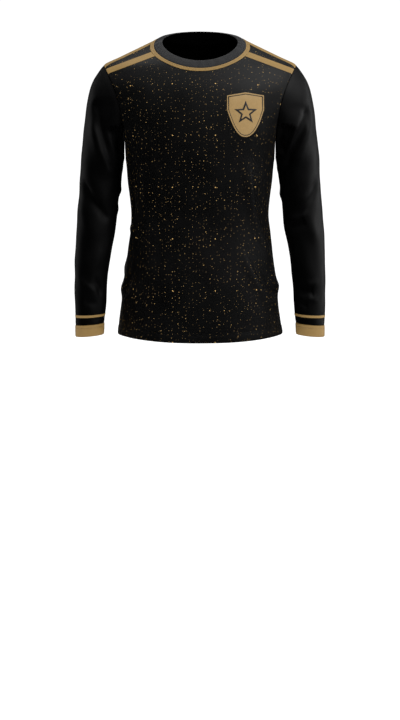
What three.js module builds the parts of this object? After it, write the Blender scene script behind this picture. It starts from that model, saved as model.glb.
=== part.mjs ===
// Long-sleeved cheer uniform top, standing in the shape it takes on its wearer.
// Millimetres, +Z up, the wearer faces -Y, and +X is the wearer's left.
// The origin is on the centre plane, level with the high point of the shoulders, inside the neck opening.
// Every panel lies on one of two surfaces, the torso or the sleeve, so neighbours share their seam lines.
import * as THREE from "three";

// ---- Driving dimensions ----
const bodyLength = 694; // high shoulder point down to the hem at the centre
const hemRise = 11; // how much higher the hem is at the side seams
const waistDrop = 388;
const neckPointHalf = 98; // centre to the high shoulder point
const shoulderHalf = 223; // centre to the shoulder point
const shoulderDrop = 60; // high shoulder point down to the shoulder point
const armholeDepth = 212; // shoulder point down to the underarm
const chestHalf = 174;
const waistHalf = 160;
const hemHalf = 194;
const chestFront = 117; // centre plane forward to the chest
const chestBack = 112;
const waistFront = 99;
const waistBack = 88;
const hemFront = 113;
const hemBack = 107;

const neckHalf = 106; // rib seam, seen from above
const neckForward = 12; // the middle of the neck hole, ahead of the shoulder line
const neckFront = 63.5; // reaches from there
const neckBack = 86;
const collarRise = 20; // how far the rib reaches in from its seam
const collarThickness = 2.4;
const bindingWidth = 10;

const sleeveLength = 519; // along the arm, from the middle of the armhole to the cuff end
const armStandOff = 24.5; // chest side out to the start of the arm's middle line
const upperArmHalf = 53;
const elbowHalf = 46;
const wristHalf = 33;
const cuffHeight = 27;
const cuffStripeHeight = 7;
const cuffStripeGap = 19; // sleeve that shows between the stripe and the cuff

const clothThickness = 1.2;
const trimThickness = 0.5;
const threadWidth = 1.4;
const layerGap = 0.6; // between a piece and the one that lies on it
const seamGap = 0.6; // between two panels at their seam

const ridgeStripeFront = 23.5; // shoulder seam forward to the stripe's edge
const ridgeStripeBack = 18;
const frontStripeWidth = 12.5; // as seen from the front
const frontStripeDrop = 31; // below the shoulder line at its neck end, as seen from the front
const frontStripeLift = 13; // how much closer to the shoulder line its armhole end is
const hemFold = 24; // cloth turned up inside the hem
const hemStitchRise = 20;
const allowance = 14; // width of an opened seam allowance

const emblemAcross = 103; // centre plane to the middle of the chest emblem
const emblemDrop = 172;
const emblemWidth = 84;
const emblemHeight = 100;
const starRadius = 27;

const rad = THREE.MathUtils.degToRad;
const underarmDrop = shoulderDrop + armholeDepth;

// ---- Materials ----
const finish = (color, roughness) => new THREE.MeshStandardMaterial({ color, roughness, metalness: 0 });
const flecked = finish(0x121212, 0.7);
const plain = finish(0x0b0b0c, 0.65);
const rib = finish(0x242424, 0.8);
const gold = finish(0xa98748, 0.6);
const thread = finish(0xb08f52, 0.6);
const label = finish(0x0e0e0f, 0.5);
const darkThread = finish(0x111112, 0.6);

// ---- The torso surface ----
// Each row of the torso: drop, half width, front depth, back depth, place of the seam line, squareness of the section.
const hipDrop = waistDrop + 0.62 * (bodyLength - waistDrop);
const hipHalf = waistHalf + 0.6 * (hemHalf - waistHalf);
const torsoRows = [
  [-8, neckPointHalf - 17, 34, 68, 30, 1.85],
  [0, neckPointHalf, 38, 73, 28, 1.85],
  [0.3 * shoulderDrop, neckPointHalf + 0.3 * (shoulderHalf - neckPointHalf), 42, 84, 22, 1.85],
  [0.7 * shoulderDrop, neckPointHalf + 0.7 * (shoulderHalf - neckPointHalf), 58, 94, 14, 1.88],
  [shoulderDrop, shoulderHalf, 71, 100, 8, 1.9],
  [shoulderDrop + 0.1 * armholeDepth, shoulderHalf + 14, 84, 105, 6, 1.95],
  [shoulderDrop + 0.23 * armholeDepth, shoulderHalf + 20, 98, 110, 5, 2],
  [shoulderDrop + 0.42 * armholeDepth, shoulderHalf + 12, chestFront - 7, chestBack, 3, 2],
  [shoulderDrop + 0.65 * armholeDepth, 0.37 * chestHalf + 0.63 * shoulderHalf, chestFront, chestBack - 2, 1, 2.06],
  [underarmDrop, chestHalf, chestFront - 2, chestBack - 9, 0, 2.15],
  [underarmDrop + 0.5 * (waistDrop - underarmDrop), 0.5 * (chestHalf + waistHalf), 107, 95, 0, 2.2],
  [waistDrop, waistHalf, waistFront, waistBack, 0, 2.2],
  [hipDrop, hipHalf, 0.3 * waistFront + 0.7 * hemFront, 0.3 * waistBack + 0.7 * hemBack, 1, 2.2],
  [bodyLength, hemHalf, hemFront, hemBack, 2, 2.2],
];
const ROW_VALUES = 5;
const torsoTable = new THREE.CubicInterpolant(
  torsoRows.map((row) => row[0]),
  torsoRows.flatMap((row) => row.slice(1)),
  ROW_VALUES,
);
const torsoRow = (drop) => [...torsoTable.evaluate(drop)];

// The torso at angle phi, from the centre front round the wearer's left, and at a drop below the shoulders.
function torso(phi, drop) {
  const [half, front, back, seam, power] = torsoRow(drop);
  const curve = (value) => Math.sign(value) * Math.abs(value) ** (2 / power);
  const across = curve(Math.sin(phi));
  const along = curve(Math.cos(phi));
  const depth = along > 0 ? front + seam : back - seam;
  return new THREE.Vector3(half * across, seam - depth * along, -drop);
}

const seamLine = (drop) => torsoRow(drop)[3];
const toSide = Math.PI / 2;

// The angle at which the torso has a given x, on its front.
function angleAt(x, drop) {
  const [half, , , , power] = torsoRow(drop);
  return Math.asin(Math.min(1, Math.abs(x) / half) ** (power / 2));
}

// The torso point over a place seen from above, found by halving, for places near the neck.
function torsoUnder(x, y) {
  let high = -8;
  let low = shoulderDrop + 40;
  for (let step = 0; step < 40; step += 1) {
    const drop = (high + low) / 2;
    const [half, front, back, seam, power] = torsoRow(drop);
    const depth = y < seam ? front + seam : back - seam;
    const outside = (Math.abs(x) / half) ** power + (Math.abs(y - seam) / depth) ** power > 1;
    if (outside) high = drop;
    else low = drop;
  }
  return new THREE.Vector3(x, y, -high);
}

// Shares of a step over the cloth that show from above, at the front, back and sides of the neck.
const FRONT_SLOPE = 0.42;
const BACK_SLOPE = 0.55;
const SIDE_SLOPE = 0.9;

// The neckline at angle alpha from the centre front, moved outwards over the torso by out.
function neckline(alpha, out = 0) {
  const forward = Math.cos(alpha);
  const reach = forward > 0 ? neckFront + out * FRONT_SLOPE : neckBack + out * BACK_SLOPE;
  return torsoUnder((neckHalf + out * SIDE_SLOPE) * Math.sin(alpha), -reach * forward - neckForward);
}

// How quickly the armhole curves in from the shoulder point.
const ARMHOLE_CURVE = 2.65;

// The x at which the armhole cuts the torso.
function armholeX(drop) {
  const height = (shoulderDrop + armholeDepth / 2 - drop) / (armholeDepth / 2);
  const below = Math.max(0, drop - underarmDrop);
  const share = ((1 + THREE.MathUtils.clamp(height, -1, 1)) / 2) ** ARMHOLE_CURVE;
  return chestHalf + (shoulderHalf - chestHalf) * share + below;
}

// ---- The sleeve surface, wearer's left ----
// The armhole seam at angle turn: 0 at the shoulder point, a quarter turn at the front, half a turn at the underarm.
function armholeSeam(turn) {
  const drop = shoulderDrop + (armholeDepth / 2) * (1 - Math.cos(turn));
  const phi = angleAt(armholeX(drop), drop);
  return torso(Math.sin(turn) >= 0 ? phi : Math.PI - phi, drop);
}

const armStart = new THREE.Vector3(chestHalf + armStandOff, 2, -(shoulderDrop + armholeDepth / 2));
// Places of the arm's middle line: across and forward from its start, and share of the sleeve's length down.
const armPlaces = [
  [0, 0, 0],
  [15, -1, 0.055],
  [22, -1, 0.115],
  [28, -2, 0.196],
  [33, -3, 0.289],
  [37, -3, 0.361],
  [42, -1, 0.485],
  [50, 5, 0.608],
  [56, 13, 0.753],
  [57.5, 20, 0.876],
  [58.5, 24, 1 - cuffHeight / sleeveLength],
  [59, 27, 1],
];
const placeOnArm = ([across, forward, share]) =>
  armStart.clone().add(new THREE.Vector3(across, -forward, -share * sleeveLength));

// The ring that lies inside the armhole's outline by rise at its ends, and leans out by lean more than it.
function shoulderRing(lean, rise, deep) {
  const out = (shoulderHalf - chestHalf) / 2 + lean;
  const up = armholeDepth / 2 - rise;
  return { across: Math.hypot(out, up), deep, tilt: THREE.MathUtils.radToDeg(Math.atan2(up, out)) };
}

// Rings round those places: half across, half front to back, tilt of the ring in degrees.
const sleeveRings = [
  shoulderRing(11.3, 12.6, upperArmHalf + 12),
  shoulderRing(17.2, 30.8, upperArmHalf + 11),
  { across: upperArmHalf + 11, deep: upperArmHalf + 7, tilt: 45 },
  { across: upperArmHalf, deep: upperArmHalf + 3, tilt: 30 },
  { across: elbowHalf + 2, deep: elbowHalf + 7, tilt: 15 },
  { across: elbowHalf, deep: elbowHalf + 4, tilt: 7 },
  { across: elbowHalf - 3, deep: elbowHalf + 1, tilt: 5 },
  { across: (elbowHalf + wristHalf) / 2 - 1, deep: (elbowHalf + wristHalf) / 2 + 2, tilt: 2 },
  { across: wristHalf + 3, deep: wristHalf + 5, tilt: -2 },
  { across: wristHalf + 1, deep: wristHalf + 3, tilt: -4.5 },
  { across: wristHalf, deep: wristHalf + 2, tilt: -5 },
];
const ringOf = { seam: 0, head: 2, elbowTop: 5, elbowEnd: 7, cuff: 10, end: 11 };

function sleeveRing({ across, deep, tilt }, place, turn) {
  const outward = new THREE.Vector3(Math.cos(rad(tilt)), 0, Math.sin(rad(tilt)));
  return placeOnArm(place)
    .addScaledVector(outward, across * Math.cos(turn))
    .add(new THREE.Vector3(0, -deep * Math.sin(turn), 0));
}

// The sleeve at an angle round it and at a ring number, 0 being the armhole seam.
const sleeveColumns = new Map();
function sleeve(turn, ring) {
  const wrapped = ((turn % (2 * Math.PI)) + 2 * Math.PI) % (2 * Math.PI);
  const key = wrapped.toFixed(6);
  if (!sleeveColumns.has(key)) {
    const seam = armholeSeam(wrapped).add(new THREE.Vector3(seamGap, 0, 0));
    const rings = sleeveRings.map((ring, index) => sleeveRing(ring, armPlaces[index + 1], wrapped));
    const points = [seam, ...rings];
    sleeveColumns.set(key, new THREE.CatmullRomCurve3(points));
  }
  return sleeveColumns.get(key).getPoint(THREE.MathUtils.clamp(ring / sleeveRings.length, 0, 1));
}

// The ring number at a distance up from the cuff end.
const shareOf = (ring) => armPlaces[ring][2];
function ringUp(height) {
  const share = 1 - height / sleeveLength;
  let ring = ringOf.end;
  while (shareOf(ring - 1) > share) ring -= 1;
  return ring - (shareOf(ring) - share) / (shareOf(ring) - shareOf(ring - 1));
}

// ---- Solids from a surface ----
const SLOPE_STEP = 1e-3;

// The outward normal of a surface whose first parameter runs to the wearer's left when seen from the front.
function normalOf(surface, p, q, outwards) {
  const acrossStep = surface(p + SLOPE_STEP, q).sub(surface(p - SLOPE_STEP, q));
  const downStep = surface(p, q + SLOPE_STEP * outwards.scale).sub(surface(p, q - SLOPE_STEP * outwards.scale));
  return downStep.cross(acrossStep).normalize().multiplyScalar(outwards.sign);
}

// The share of the way from a to b at which keep turns negative, found by halving.
function crossing(inside, outside, keep) {
  let kept = inside;
  let lost = outside;
  for (let step = 0; step < 24; step += 1) {
    const middle = [(kept[0] + lost[0]) / 2, (kept[1] + lost[1]) / 2];
    if (keep(...middle) > 0) kept = middle;
    else lost = middle;
  }
  return kept;
}

// The part of each triangle, given by its parameters, on which keep is positive.
function clipped(triangles, keep) {
  const made = [];
  for (const triangle of triangles) {
    const corners = [];
    triangle.forEach((corner, index) => {
      const next = triangle[(index + 1) % 3];
      const here = keep(...corner) > 0;
      const there = keep(...next) > 0;
      if (here) corners.push(corner);
      if (here && !there) corners.push(crossing(corner, next, keep));
      if (!here && there) corners.push(crossing(next, corner, keep));
    });
    for (let index = 2; index < corners.length; index += 1)
      made.push([corners[0], corners[index - 1], corners[index]]);
  }
  return made;
}

// Values from the first stop to the last, each later stop giving its value and the number of steps up to it.
function spread([first, ...stops]) {
  const values = [first];
  for (const [value, steps] of stops) {
    const from = values.at(-1);
    for (let step = 1; step <= steps; step += 1) values.push(from + ((value - from) * step) / steps);
  }
  return values;
}

// A closed sheet that lies on a surface, from offset inner to offset outer along its normals.
// across and down hold the values of the surface's two parameters, and keep the cuts through the sheet.
function sheet(surface, { across, down, wraps = false, keep = [], inner, outer, outwards, shift = 0 }) {
  let triangles = [];
  for (let i = 1; i < across.length; i += 1)
    for (let j = 1; j < down.length; j += 1) {
      const left = across[i - 1];
      const right = wraps && i === across.length - 1 ? across[0] : across[i];
      const [top, bottom] = [down[j - 1], down[j]];
      triangles.push([[left, top], [left, bottom], [right, bottom]]);
      triangles.push([[left, top], [right, bottom], [right, top]]);
    }
  for (const test of keep) triangles = clipped(triangles, test);

  const numbers = new Map();
  const outerPoints = [];
  const innerPoints = [];
  const number = (corner) => {
    const point = surface(...corner);
    const key = point.toArray().map((value) => value.toFixed(3)).join();
    if (!numbers.has(key)) {
      numbers.set(key, outerPoints.length);
      const normal = normalOf(surface, ...corner, outwards);
      point.y += shift;
      outerPoints.push(point.clone().addScaledVector(normal, outer));
      innerPoints.push(point.clone().addScaledVector(normal, inner));
    }
    return numbers.get(key);
  };
  const faces = triangles
    .map((triangle) => triangle.map(number))
    .filter(([a, b, c]) => a !== b && b !== c && c !== a)
    .map(([a, b, c]) => (outwards.sign > 0 ? [a, b, c] : [a, c, b]));

  const edges = new Set(faces.flatMap(([a, b, c]) => [`${a},${b}`, `${b},${c}`, `${c},${a}`]));
  const count = outerPoints.length;
  const index = [];
  for (const [a, b, c] of faces) index.push(a, b, c, c + count, b + count, a + count);
  for (const edge of edges) {
    const [a, b] = edge.split(",").map(Number);
    if (!edges.has(`${b},${a}`)) index.push(b, a, a + count, b, a + count, b + count);
  }
  const geometry = new THREE.BufferGeometry().setFromPoints([...outerPoints, ...innerPoints]);
  return geometry.setIndex(index);
}

const torsoOutwards = { sign: 1, scale: 1000 };
const sleeveOutwards = { sign: -1, scale: 10 };
const collarOutwards = { sign: -1, scale: 10 };
const neckOutwards = { sign: 1, scale: 100 };
const cloth = { inner: -clothThickness, outer: 0 };
const onTop = { inner: layerGap, outer: layerGap + trimThickness };
const onTrim = { inner: 2 * layerGap + trimThickness, outer: 2 * layerGap + 2 * trimThickness };
const insideCloth = {
  inner: -clothThickness - layerGap - trimThickness,
  outer: -clothThickness - layerGap,
};
const insideSeam = { inner: insideCloth.inner - layerGap, outer: insideCloth.outer - layerGap };
const insideTape = { inner: insideSeam.inner - layerGap, outer: insideSeam.inner - layerGap + trimThickness / 2 };

// ---- Assembly ----
const uniform = new THREE.Group();

function add(name, geometry, material, mirrored = false) {
  const mesh = new THREE.Mesh(geometry, material);
  mesh.name = name;
  if (mirrored) mesh.scale.x = -1;
  uniform.add(mesh);
}

// Adds a piece of the wearer's left side and its mirror image on the right.
function addPair(name, geometry, material) {
  add(`left_${name}`, geometry, material);
  add(`right_${name}`, geometry, material, true);
}

// Conditions that hold on the kept side of a cut through the torso.
const hemLine = (phi) => bodyLength - hemRise * Math.sin(phi) ** 2;
const aboveHem = (phi, drop) => hemLine(phi) - drop;
const clearOfArmhole = (phi, drop) => armholeX(drop) - seamGap - Math.abs(torso(phi, drop).x);
const outsideNeck = (out) => (phi, drop) => {
  const { x, y } = torso(phi, drop);
  const back = y + neckForward;
  const reach = back < 0 ? neckFront + out * FRONT_SLOPE : neckBack + out * BACK_SLOPE;
  return (x / (neckHalf + out * SIDE_SLOPE)) ** 2 + (back / reach) ** 2 - 1;
};
const forwardOfRidge = (phi, drop) => seamLine(drop) - torso(phi, drop).y;

// Body panels
const panelRows = spread([-7, [shoulderDrop, 8], [underarmDrop, 6], [bodyLength, 9]]);
function bodyPanel(from, shift) {
  return sheet(torso, {
    across: spread([from, [from + Math.PI, 20]]),
    down: panelRows,
    keep: [outsideNeck(0), clearOfArmhole, aboveHem],
    shift,
    outwards: torsoOutwards,
    ...cloth,
  });
}
add("front_body_panel", bodyPanel(-toSide, -seamGap / 2), flecked);
add("back_body_panel", bodyPanel(toSide, seamGap / 2), flecked);

// Hem: cloth turned up inside, and the stitching that holds it
const hemSurface = (phi, below) => torso(phi, hemLine(phi) + below);
const hemOutwards = { sign: 1, scale: 1000 };
function hemBand(from, low, high, layer, shift) {
  return sheet(hemSurface, {
    across: spread([from, [from + Math.PI, 20]]),
    down: [-high, -low],
    shift,
    outwards: hemOutwards,
    ...layer,
  });
}
add("front_hem_fold", hemBand(-toSide, 1, hemFold, insideCloth, -seamGap), flecked);
add("back_hem_fold", hemBand(toSide, 1, hemFold, insideCloth, seamGap), flecked);
const hemStitchTop = hemStitchRise + threadWidth;
add("front_hem_topstitch", hemBand(-toSide, hemStitchRise, hemStitchTop, onTop, -seamGap), darkThread);
add("back_hem_topstitch", hemBand(toSide, hemStitchRise, hemStitchTop, onTop, seamGap), darkThread);

// Sleeve, one piece of cloth in four lengths, two of which bend
const roundSleeve = spread([0, [2 * Math.PI, 20]]);
function sleeveLengthOf(fromRing, toRing, rows) {
  const gap = 0.006;
  const headGap = fromRing === ringOf.seam ? 0.03 : gap;
  return sheet(sleeve, {
    across: roundSleeve,
    down: spread([fromRing + headGap, [toRing - gap, rows]]),
    wraps: true,
    outwards: sleeveOutwards,
    ...cloth,
  });
}
addPair("sleeve_head", sleeveLengthOf(ringOf.seam, ringOf.head, 4), plain);
addPair("sleeve_upper", sleeveLengthOf(ringOf.head, ringOf.elbowTop, 4), plain);
addPair("sleeve_elbow", sleeveLengthOf(ringOf.elbowTop, ringOf.elbowEnd, 2), plain);
addPair("sleeve_lower", sleeveLengthOf(ringOf.elbowEnd, ringOf.cuff, 3), plain);

// Cuff, its stripe and its stitching, and the seam tape round the armhole
function sleeveBand(from, to, layer) {
  const shape = { across: roundSleeve, down: [from, to], wraps: true, outwards: sleeveOutwards };
  return sheet(sleeve, { ...shape, ...layer });
}
const upCuff = (low, high, layer) => sleeveBand(ringUp(high), ringUp(low), layer);
const stripeLow = cuffHeight + cuffStripeGap;
const cuffStitchRise = cuffHeight - 7;
const cuffBulge = 0.4; // a cuff is two layers of cloth
const onCuff = { inner: cuffBulge + layerGap, outer: cuffBulge + layerGap + trimThickness };
addPair("cuff_band", upCuff(0, cuffHeight - seamGap, { inner: -clothThickness, outer: cuffBulge }), gold);
addPair("cuff_stripe", upCuff(stripeLow, stripeLow + cuffStripeHeight, onTop), gold);
addPair("cuff_topstitch", upCuff(cuffStitchRise, cuffStitchRise + threadWidth, onCuff), thread);
addPair("armhole_seam_tape", sleeveBand(0.08, 0.32, insideSeam), plain);

// Neck: rib collar, gold binding over its seam, topstitching, tape inside the back neck
function collar(alpha, rise) {
  const seam = neckline(alpha, -collarThickness);
  const forward = Math.cos(alpha);
  const reach = forward > 0 ? neckFront : neckBack;
  const top = new THREE.Vector3(
    (neckHalf - 0.95 * collarRise) * Math.sin(alpha),
    -(reach - 0.6 * collarRise) * forward - neckForward,
    -14.5 - 33.5 * forward + 6.5 * (1 - forward * forward) - 2 * forward * forward,
  );
  const point = seam.lerp(top, rise);
  point.z += (1.5 - 0.2 * forward) * Math.sin(Math.PI * rise); // the rib bows out a little
  return point;
}
const roundNeck = spread([0, [2 * Math.PI, 48]]);
const ribLayer = { inner: -collarThickness / 2, outer: collarThickness / 2 };
const ribShape = { across: roundNeck, down: [0, 1 / 3, 2 / 3, 1], wraps: true, outwards: collarOutwards };
add("collar_rib", sheet(collar, { ...ribShape, ...ribLayer }), rib);
function neckBand(from, to, layer, across = roundNeck, wraps = true) {
  return sheet(neckline, { across, down: [from, to], wraps, outwards: neckOutwards, ...layer });
}
add("collar_binding", neckBand(0.8, bindingWidth, onTop), gold);
const bindingMiddle = bindingWidth / 2;
add("collar_topstitch", neckBand(bindingMiddle, bindingMiddle + threadWidth, onTrim), thread);
const backNeck = spread([rad(118), [rad(242), 20]]);
add("back_neck_tape", neckBand(1, 13, insideCloth, backNeck, false), rib);

// Shoulder stripes
const shoulderSlope = shoulderDrop / (shoulderHalf - neckPointHalf);
const belowShoulder = (phi, drop) => drop - shoulderSlope * (Math.abs(torso(phi, drop).x) - neckPointHalf);
const stripeMiddle = (phi, drop) => {
  const share = (Math.abs(torso(phi, drop).x) - neckHalf) / (shoulderHalf - neckHalf);
  return frontStripeDrop - frontStripeLift * share;
};
const stripeCuts = [outsideNeck(bindingWidth + 1), clearOfArmhole];
function shoulderPiece(from, to, lowest, keep, layer) {
  return sheet(torso, {
    across: spread([from, [to, 14]]),
    down: spread([-5, [lowest, 12]]),
    keep,
    outwards: torsoOutwards,
    ...layer,
  });
}
const ridgeCuts = [
  ...stripeCuts,
  (phi, drop) => ridgeStripeFront - forwardOfRidge(phi, drop),
  (phi, drop) => ridgeStripeBack + forwardOfRidge(phi, drop),
];
const ridgeLow = shoulderDrop + 16;
addPair("shoulder_ridge_stripe", shoulderPiece(0.6, 2.3, ridgeLow, ridgeCuts, onTop), gold);
const frontStripeCuts = [
  ...stripeCuts,
  (phi, drop) => belowShoulder(phi, drop) - stripeMiddle(phi, drop) + frontStripeWidth / 2,
  (phi, drop) => stripeMiddle(phi, drop) + frontStripeWidth / 2 - belowShoulder(phi, drop),
];
addPair("shoulder_front_stripe", shoulderPiece(0.3, 1.5, shoulderDrop + 30, frontStripeCuts, onTop), gold);

// Seam allowances pressed open inside the shoulder and side seams
const nearRidge = (phi, drop) => allowance / 2 - Math.abs(forwardOfRidge(phi, drop));
const shoulderAllowanceCuts = [outsideNeck(14), clearOfArmhole, nearRidge];
addPair("shoulder_seam_allowance", shoulderPiece(1.1, 2, shoulderDrop, shoulderAllowanceCuts, insideSeam), plain);
addPair(
  "side_seam_allowance",
  sheet(torso, {
    across: spread([toSide - 0.08, [toSide + 0.08, 6]]),
    down: spread([underarmDrop + 6, [bodyLength - hemRise - hemFold - 3, 9]]),
    keep: [nearRidge],
    outwards: torsoOutwards,
    ...insideSeam,
  }),
  plain,
);

// Labels
function insideLabel(from, to, top, bottom) {
  const shape = { across: spread([from, [to, 4]]), down: spread([top, [bottom, 2]]) };
  return sheet(torso, { ...shape, outwards: torsoOutwards, ...insideTape });
}
add("size_label", insideLabel(Math.PI - 0.19, Math.PI + 0.19, 24, 50), label);
add("care_label", insideLabel(toSide + 0.12, toSide + 0.42, hipDrop - 30, hipDrop + 30), label);

// Chest emblem: a plain shield with a star
function emblemPiece(halfWidth, top, bottom, keep, steps, layer) {
  const drops = [emblemDrop - top, emblemDrop + bottom];
  const [near, far] = [emblemAcross - halfWidth, emblemAcross + halfWidth].map((x) => angleAt(x, emblemDrop));
  return sheet(torso, {
    across: spread([near - 0.1, [far + 0.1, steps]]),
    down: spread([drops[0] - 1, [drops[1] + 1, steps]]),
    keep: keep.map((test) => (phi, drop) => test(torso(phi, drop).x - emblemAcross, emblemDrop - drop)),
    outwards: torsoOutwards,
    ...layer,
  });
}
const shieldHalf = emblemWidth / 2;
const shieldTop = emblemHeight / 2;
const shieldCuts = [
  (x) => shieldHalf - Math.abs(x),
  (x, z) => shieldTop - 0.16 * Math.abs(x) - z,
  (x, z) => z + shieldTop - (emblemHeight * 0.62) * (Math.abs(x) / shieldHalf) ** 2.2,
];
add("emblem_shield", emblemPiece(shieldHalf, shieldTop, shieldTop, shieldCuts, 10, onTop), gold);
function insideStar(x, z) {
  const fifth = (2 * Math.PI) / 5;
  const height = z - 4;
  const angle = Math.abs(((((Math.atan2(x, height) + fifth / 2) % fifth) + fifth) % fifth) - fifth / 2);
  const inset = 0.42; // notch radius as a share of the tip radius
  const slope = (inset * Math.sin(fifth / 2)) / (1 - inset * Math.cos(fifth / 2));
  const along = Math.hypot(x, height) * Math.cos(angle);
  const out = Math.hypot(x, height) * Math.sin(angle);
  return (starRadius - along) * slope - out;
}
const starTop = starRadius + 6;
add("emblem_star", emblemPiece(starRadius, starTop, starTop, [insideStar], 12, onTrim), plain);

export default uniform;
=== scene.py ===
"""A long-sleeved cheer uniform top, standing in the shape it takes on its wearer.

Metres, +Z up, the wearer faces -Y and +X is the wearer's left. Every piece lies on one of two
forms, the torso or a sleeve, so neighbours meet at their seams and share their folds.
"""

import logging
import math
from dataclasses import dataclass, field, replace
from enum import Enum
from typing import Callable, Optional, Sequence, Union

import bpy
import numpy as np
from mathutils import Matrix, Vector


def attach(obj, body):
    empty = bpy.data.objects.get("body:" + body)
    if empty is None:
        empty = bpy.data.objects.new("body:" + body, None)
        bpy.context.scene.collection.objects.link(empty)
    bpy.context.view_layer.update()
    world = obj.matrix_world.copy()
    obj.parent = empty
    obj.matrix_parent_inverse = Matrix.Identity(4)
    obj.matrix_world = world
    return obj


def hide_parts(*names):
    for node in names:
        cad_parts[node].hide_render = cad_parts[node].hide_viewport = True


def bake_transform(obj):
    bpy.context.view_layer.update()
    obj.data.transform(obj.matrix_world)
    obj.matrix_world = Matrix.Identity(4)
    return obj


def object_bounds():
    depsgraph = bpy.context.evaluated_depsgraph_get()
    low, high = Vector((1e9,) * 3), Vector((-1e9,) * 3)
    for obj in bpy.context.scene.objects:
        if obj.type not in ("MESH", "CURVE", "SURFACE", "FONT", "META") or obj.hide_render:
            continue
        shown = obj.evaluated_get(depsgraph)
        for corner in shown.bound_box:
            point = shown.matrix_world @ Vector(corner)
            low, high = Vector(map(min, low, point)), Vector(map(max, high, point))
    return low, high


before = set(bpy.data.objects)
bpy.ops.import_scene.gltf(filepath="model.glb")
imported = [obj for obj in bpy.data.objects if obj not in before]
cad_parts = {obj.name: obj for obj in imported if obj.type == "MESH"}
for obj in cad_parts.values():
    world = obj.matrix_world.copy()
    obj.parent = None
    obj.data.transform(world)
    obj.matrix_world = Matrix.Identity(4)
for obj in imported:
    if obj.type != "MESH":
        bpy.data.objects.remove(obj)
CAD_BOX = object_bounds()
log = logging.getLogger("uniform")

Points = np.ndarray
SurfaceFn = Callable[[Points, Points], Points]
CutFn = Callable[[Points, Points], Points]

SIDE_SEAM = math.pi / 2
MM = 0.001

# Steps in a form's two parameters for finding its normal: the torso's and the sleeve's.
TORSO_STEPS = (1e-3, 1e-3)
SLEEVE_STEPS = (1e-2, 1e-2)

# Inner and outer offset from the outer face of the cloth, for each layer sewn inside it.
TURNED_HEM_LAYER = (-1.7 * MM, -1.05 * MM)
TAPE_LAYER = (-2.0 * MM, -1.3 * MM)
ALLOWANCE_LAYER = (-2.1 * MM, -1.3 * MM)
LABEL_LAYER = (-3.1 * MM, -2.7 * MM)

# Length, gap and thread radius of the stitches.
HEM_STITCH = (2.6 * MM, 0.7 * MM, 0.26 * MM)
GOLD_STITCH = (2.4 * MM, 0.6 * MM, 0.25 * MM)

# How often a search for an edge halves its interval.
NECK_HALVINGS = 36
CUT_HALVINGS = 26
SHIELD_HALVINGS = 30


class Body(Enum):
    """The moving bodies of the garment."""

    TORSO = "torso"
    LEFT_UPPER = "left_upper_sleeve"
    LEFT_LOWER = "left_lower_sleeve"
    RIGHT_UPPER = "right_upper_sleeve"
    RIGHT_LOWER = "right_lower_sleeve"


class Slot(Enum):
    """The record's material slots."""

    FLECKED = "flecked_jersey"
    PLAIN = "plain_jersey"
    GOLD = "gold_jersey"
    RIB = "rib_knit"
    THREAD = "sewing_thread"
    DARK_THREAD = "dark_thread"
    LABEL = "label_satin"


class Side(Enum):
    """The wearer's sides, with the sign of their x."""

    LEFT = 1
    RIGHT = -1

    @property
    def word(self) -> str:
        """The side's word in piece names."""
        return self.name.lower()

    @property
    def upper(self) -> Body:
        """The body of this side's upper sleeve."""
        return Body.LEFT_UPPER if self is Side.LEFT else Body.RIGHT_UPPER

    @property
    def lower(self) -> Body:
        """The body of this side's lower sleeve."""
        return Body.LEFT_LOWER if self is Side.LEFT else Body.RIGHT_LOWER


# ---------------------------------------------------------------- shapes in numbers


def smooth(value: Points, low: float, high: float) -> Points:
    """A smooth step from 0 at low to 1 at high."""
    share = np.clip((value - low) / (high - low), 0, 1)
    return share * share * (3 - 2 * share)


def unit(vectors: Points) -> Points:
    """The vectors, each scaled to length 1."""
    return vectors / np.maximum(np.linalg.norm(vectors, axis=-1, keepdims=True), 1e-12)


class RowTable:
    """Values that change smoothly along a list of rows."""

    def __init__(self, rows: Sequence[Sequence[float]]) -> None:
        """Keeps the rows, whose first number is their place.

        Args:
            rows: The rows, in order of place.
        """
        table = np.array(rows, float)
        self.place, self.values = table[:, 0], table[:, 1:]
        self.slopes = np.gradient(self.values, self.place, axis=0)

    def at(self, place: Points) -> Points:
        """The values at each place, one row per place.

        Args:
            place: Where to read the table; beyond its ends it stays at the end values.

        Returns:
            An array with one row for each place.
        """
        x = np.clip(np.asarray(place, float), self.place[0], self.place[-1])
        i = np.clip(np.searchsorted(self.place, x) - 1, 0, len(self.place) - 2)
        step = (self.place[i + 1] - self.place[i])[..., None]
        t = (x - self.place[i])[..., None] / step
        low, high = self.values[i], self.values[i + 1]
        low_slope, high_slope = self.slopes[i] * step, self.slopes[i + 1] * step
        blend = t * t * (3 - 2 * t)
        bend = t * (1 - t)
        return low + (high - low) * blend + bend * ((1 - t) * low_slope - t * high_slope)


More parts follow.
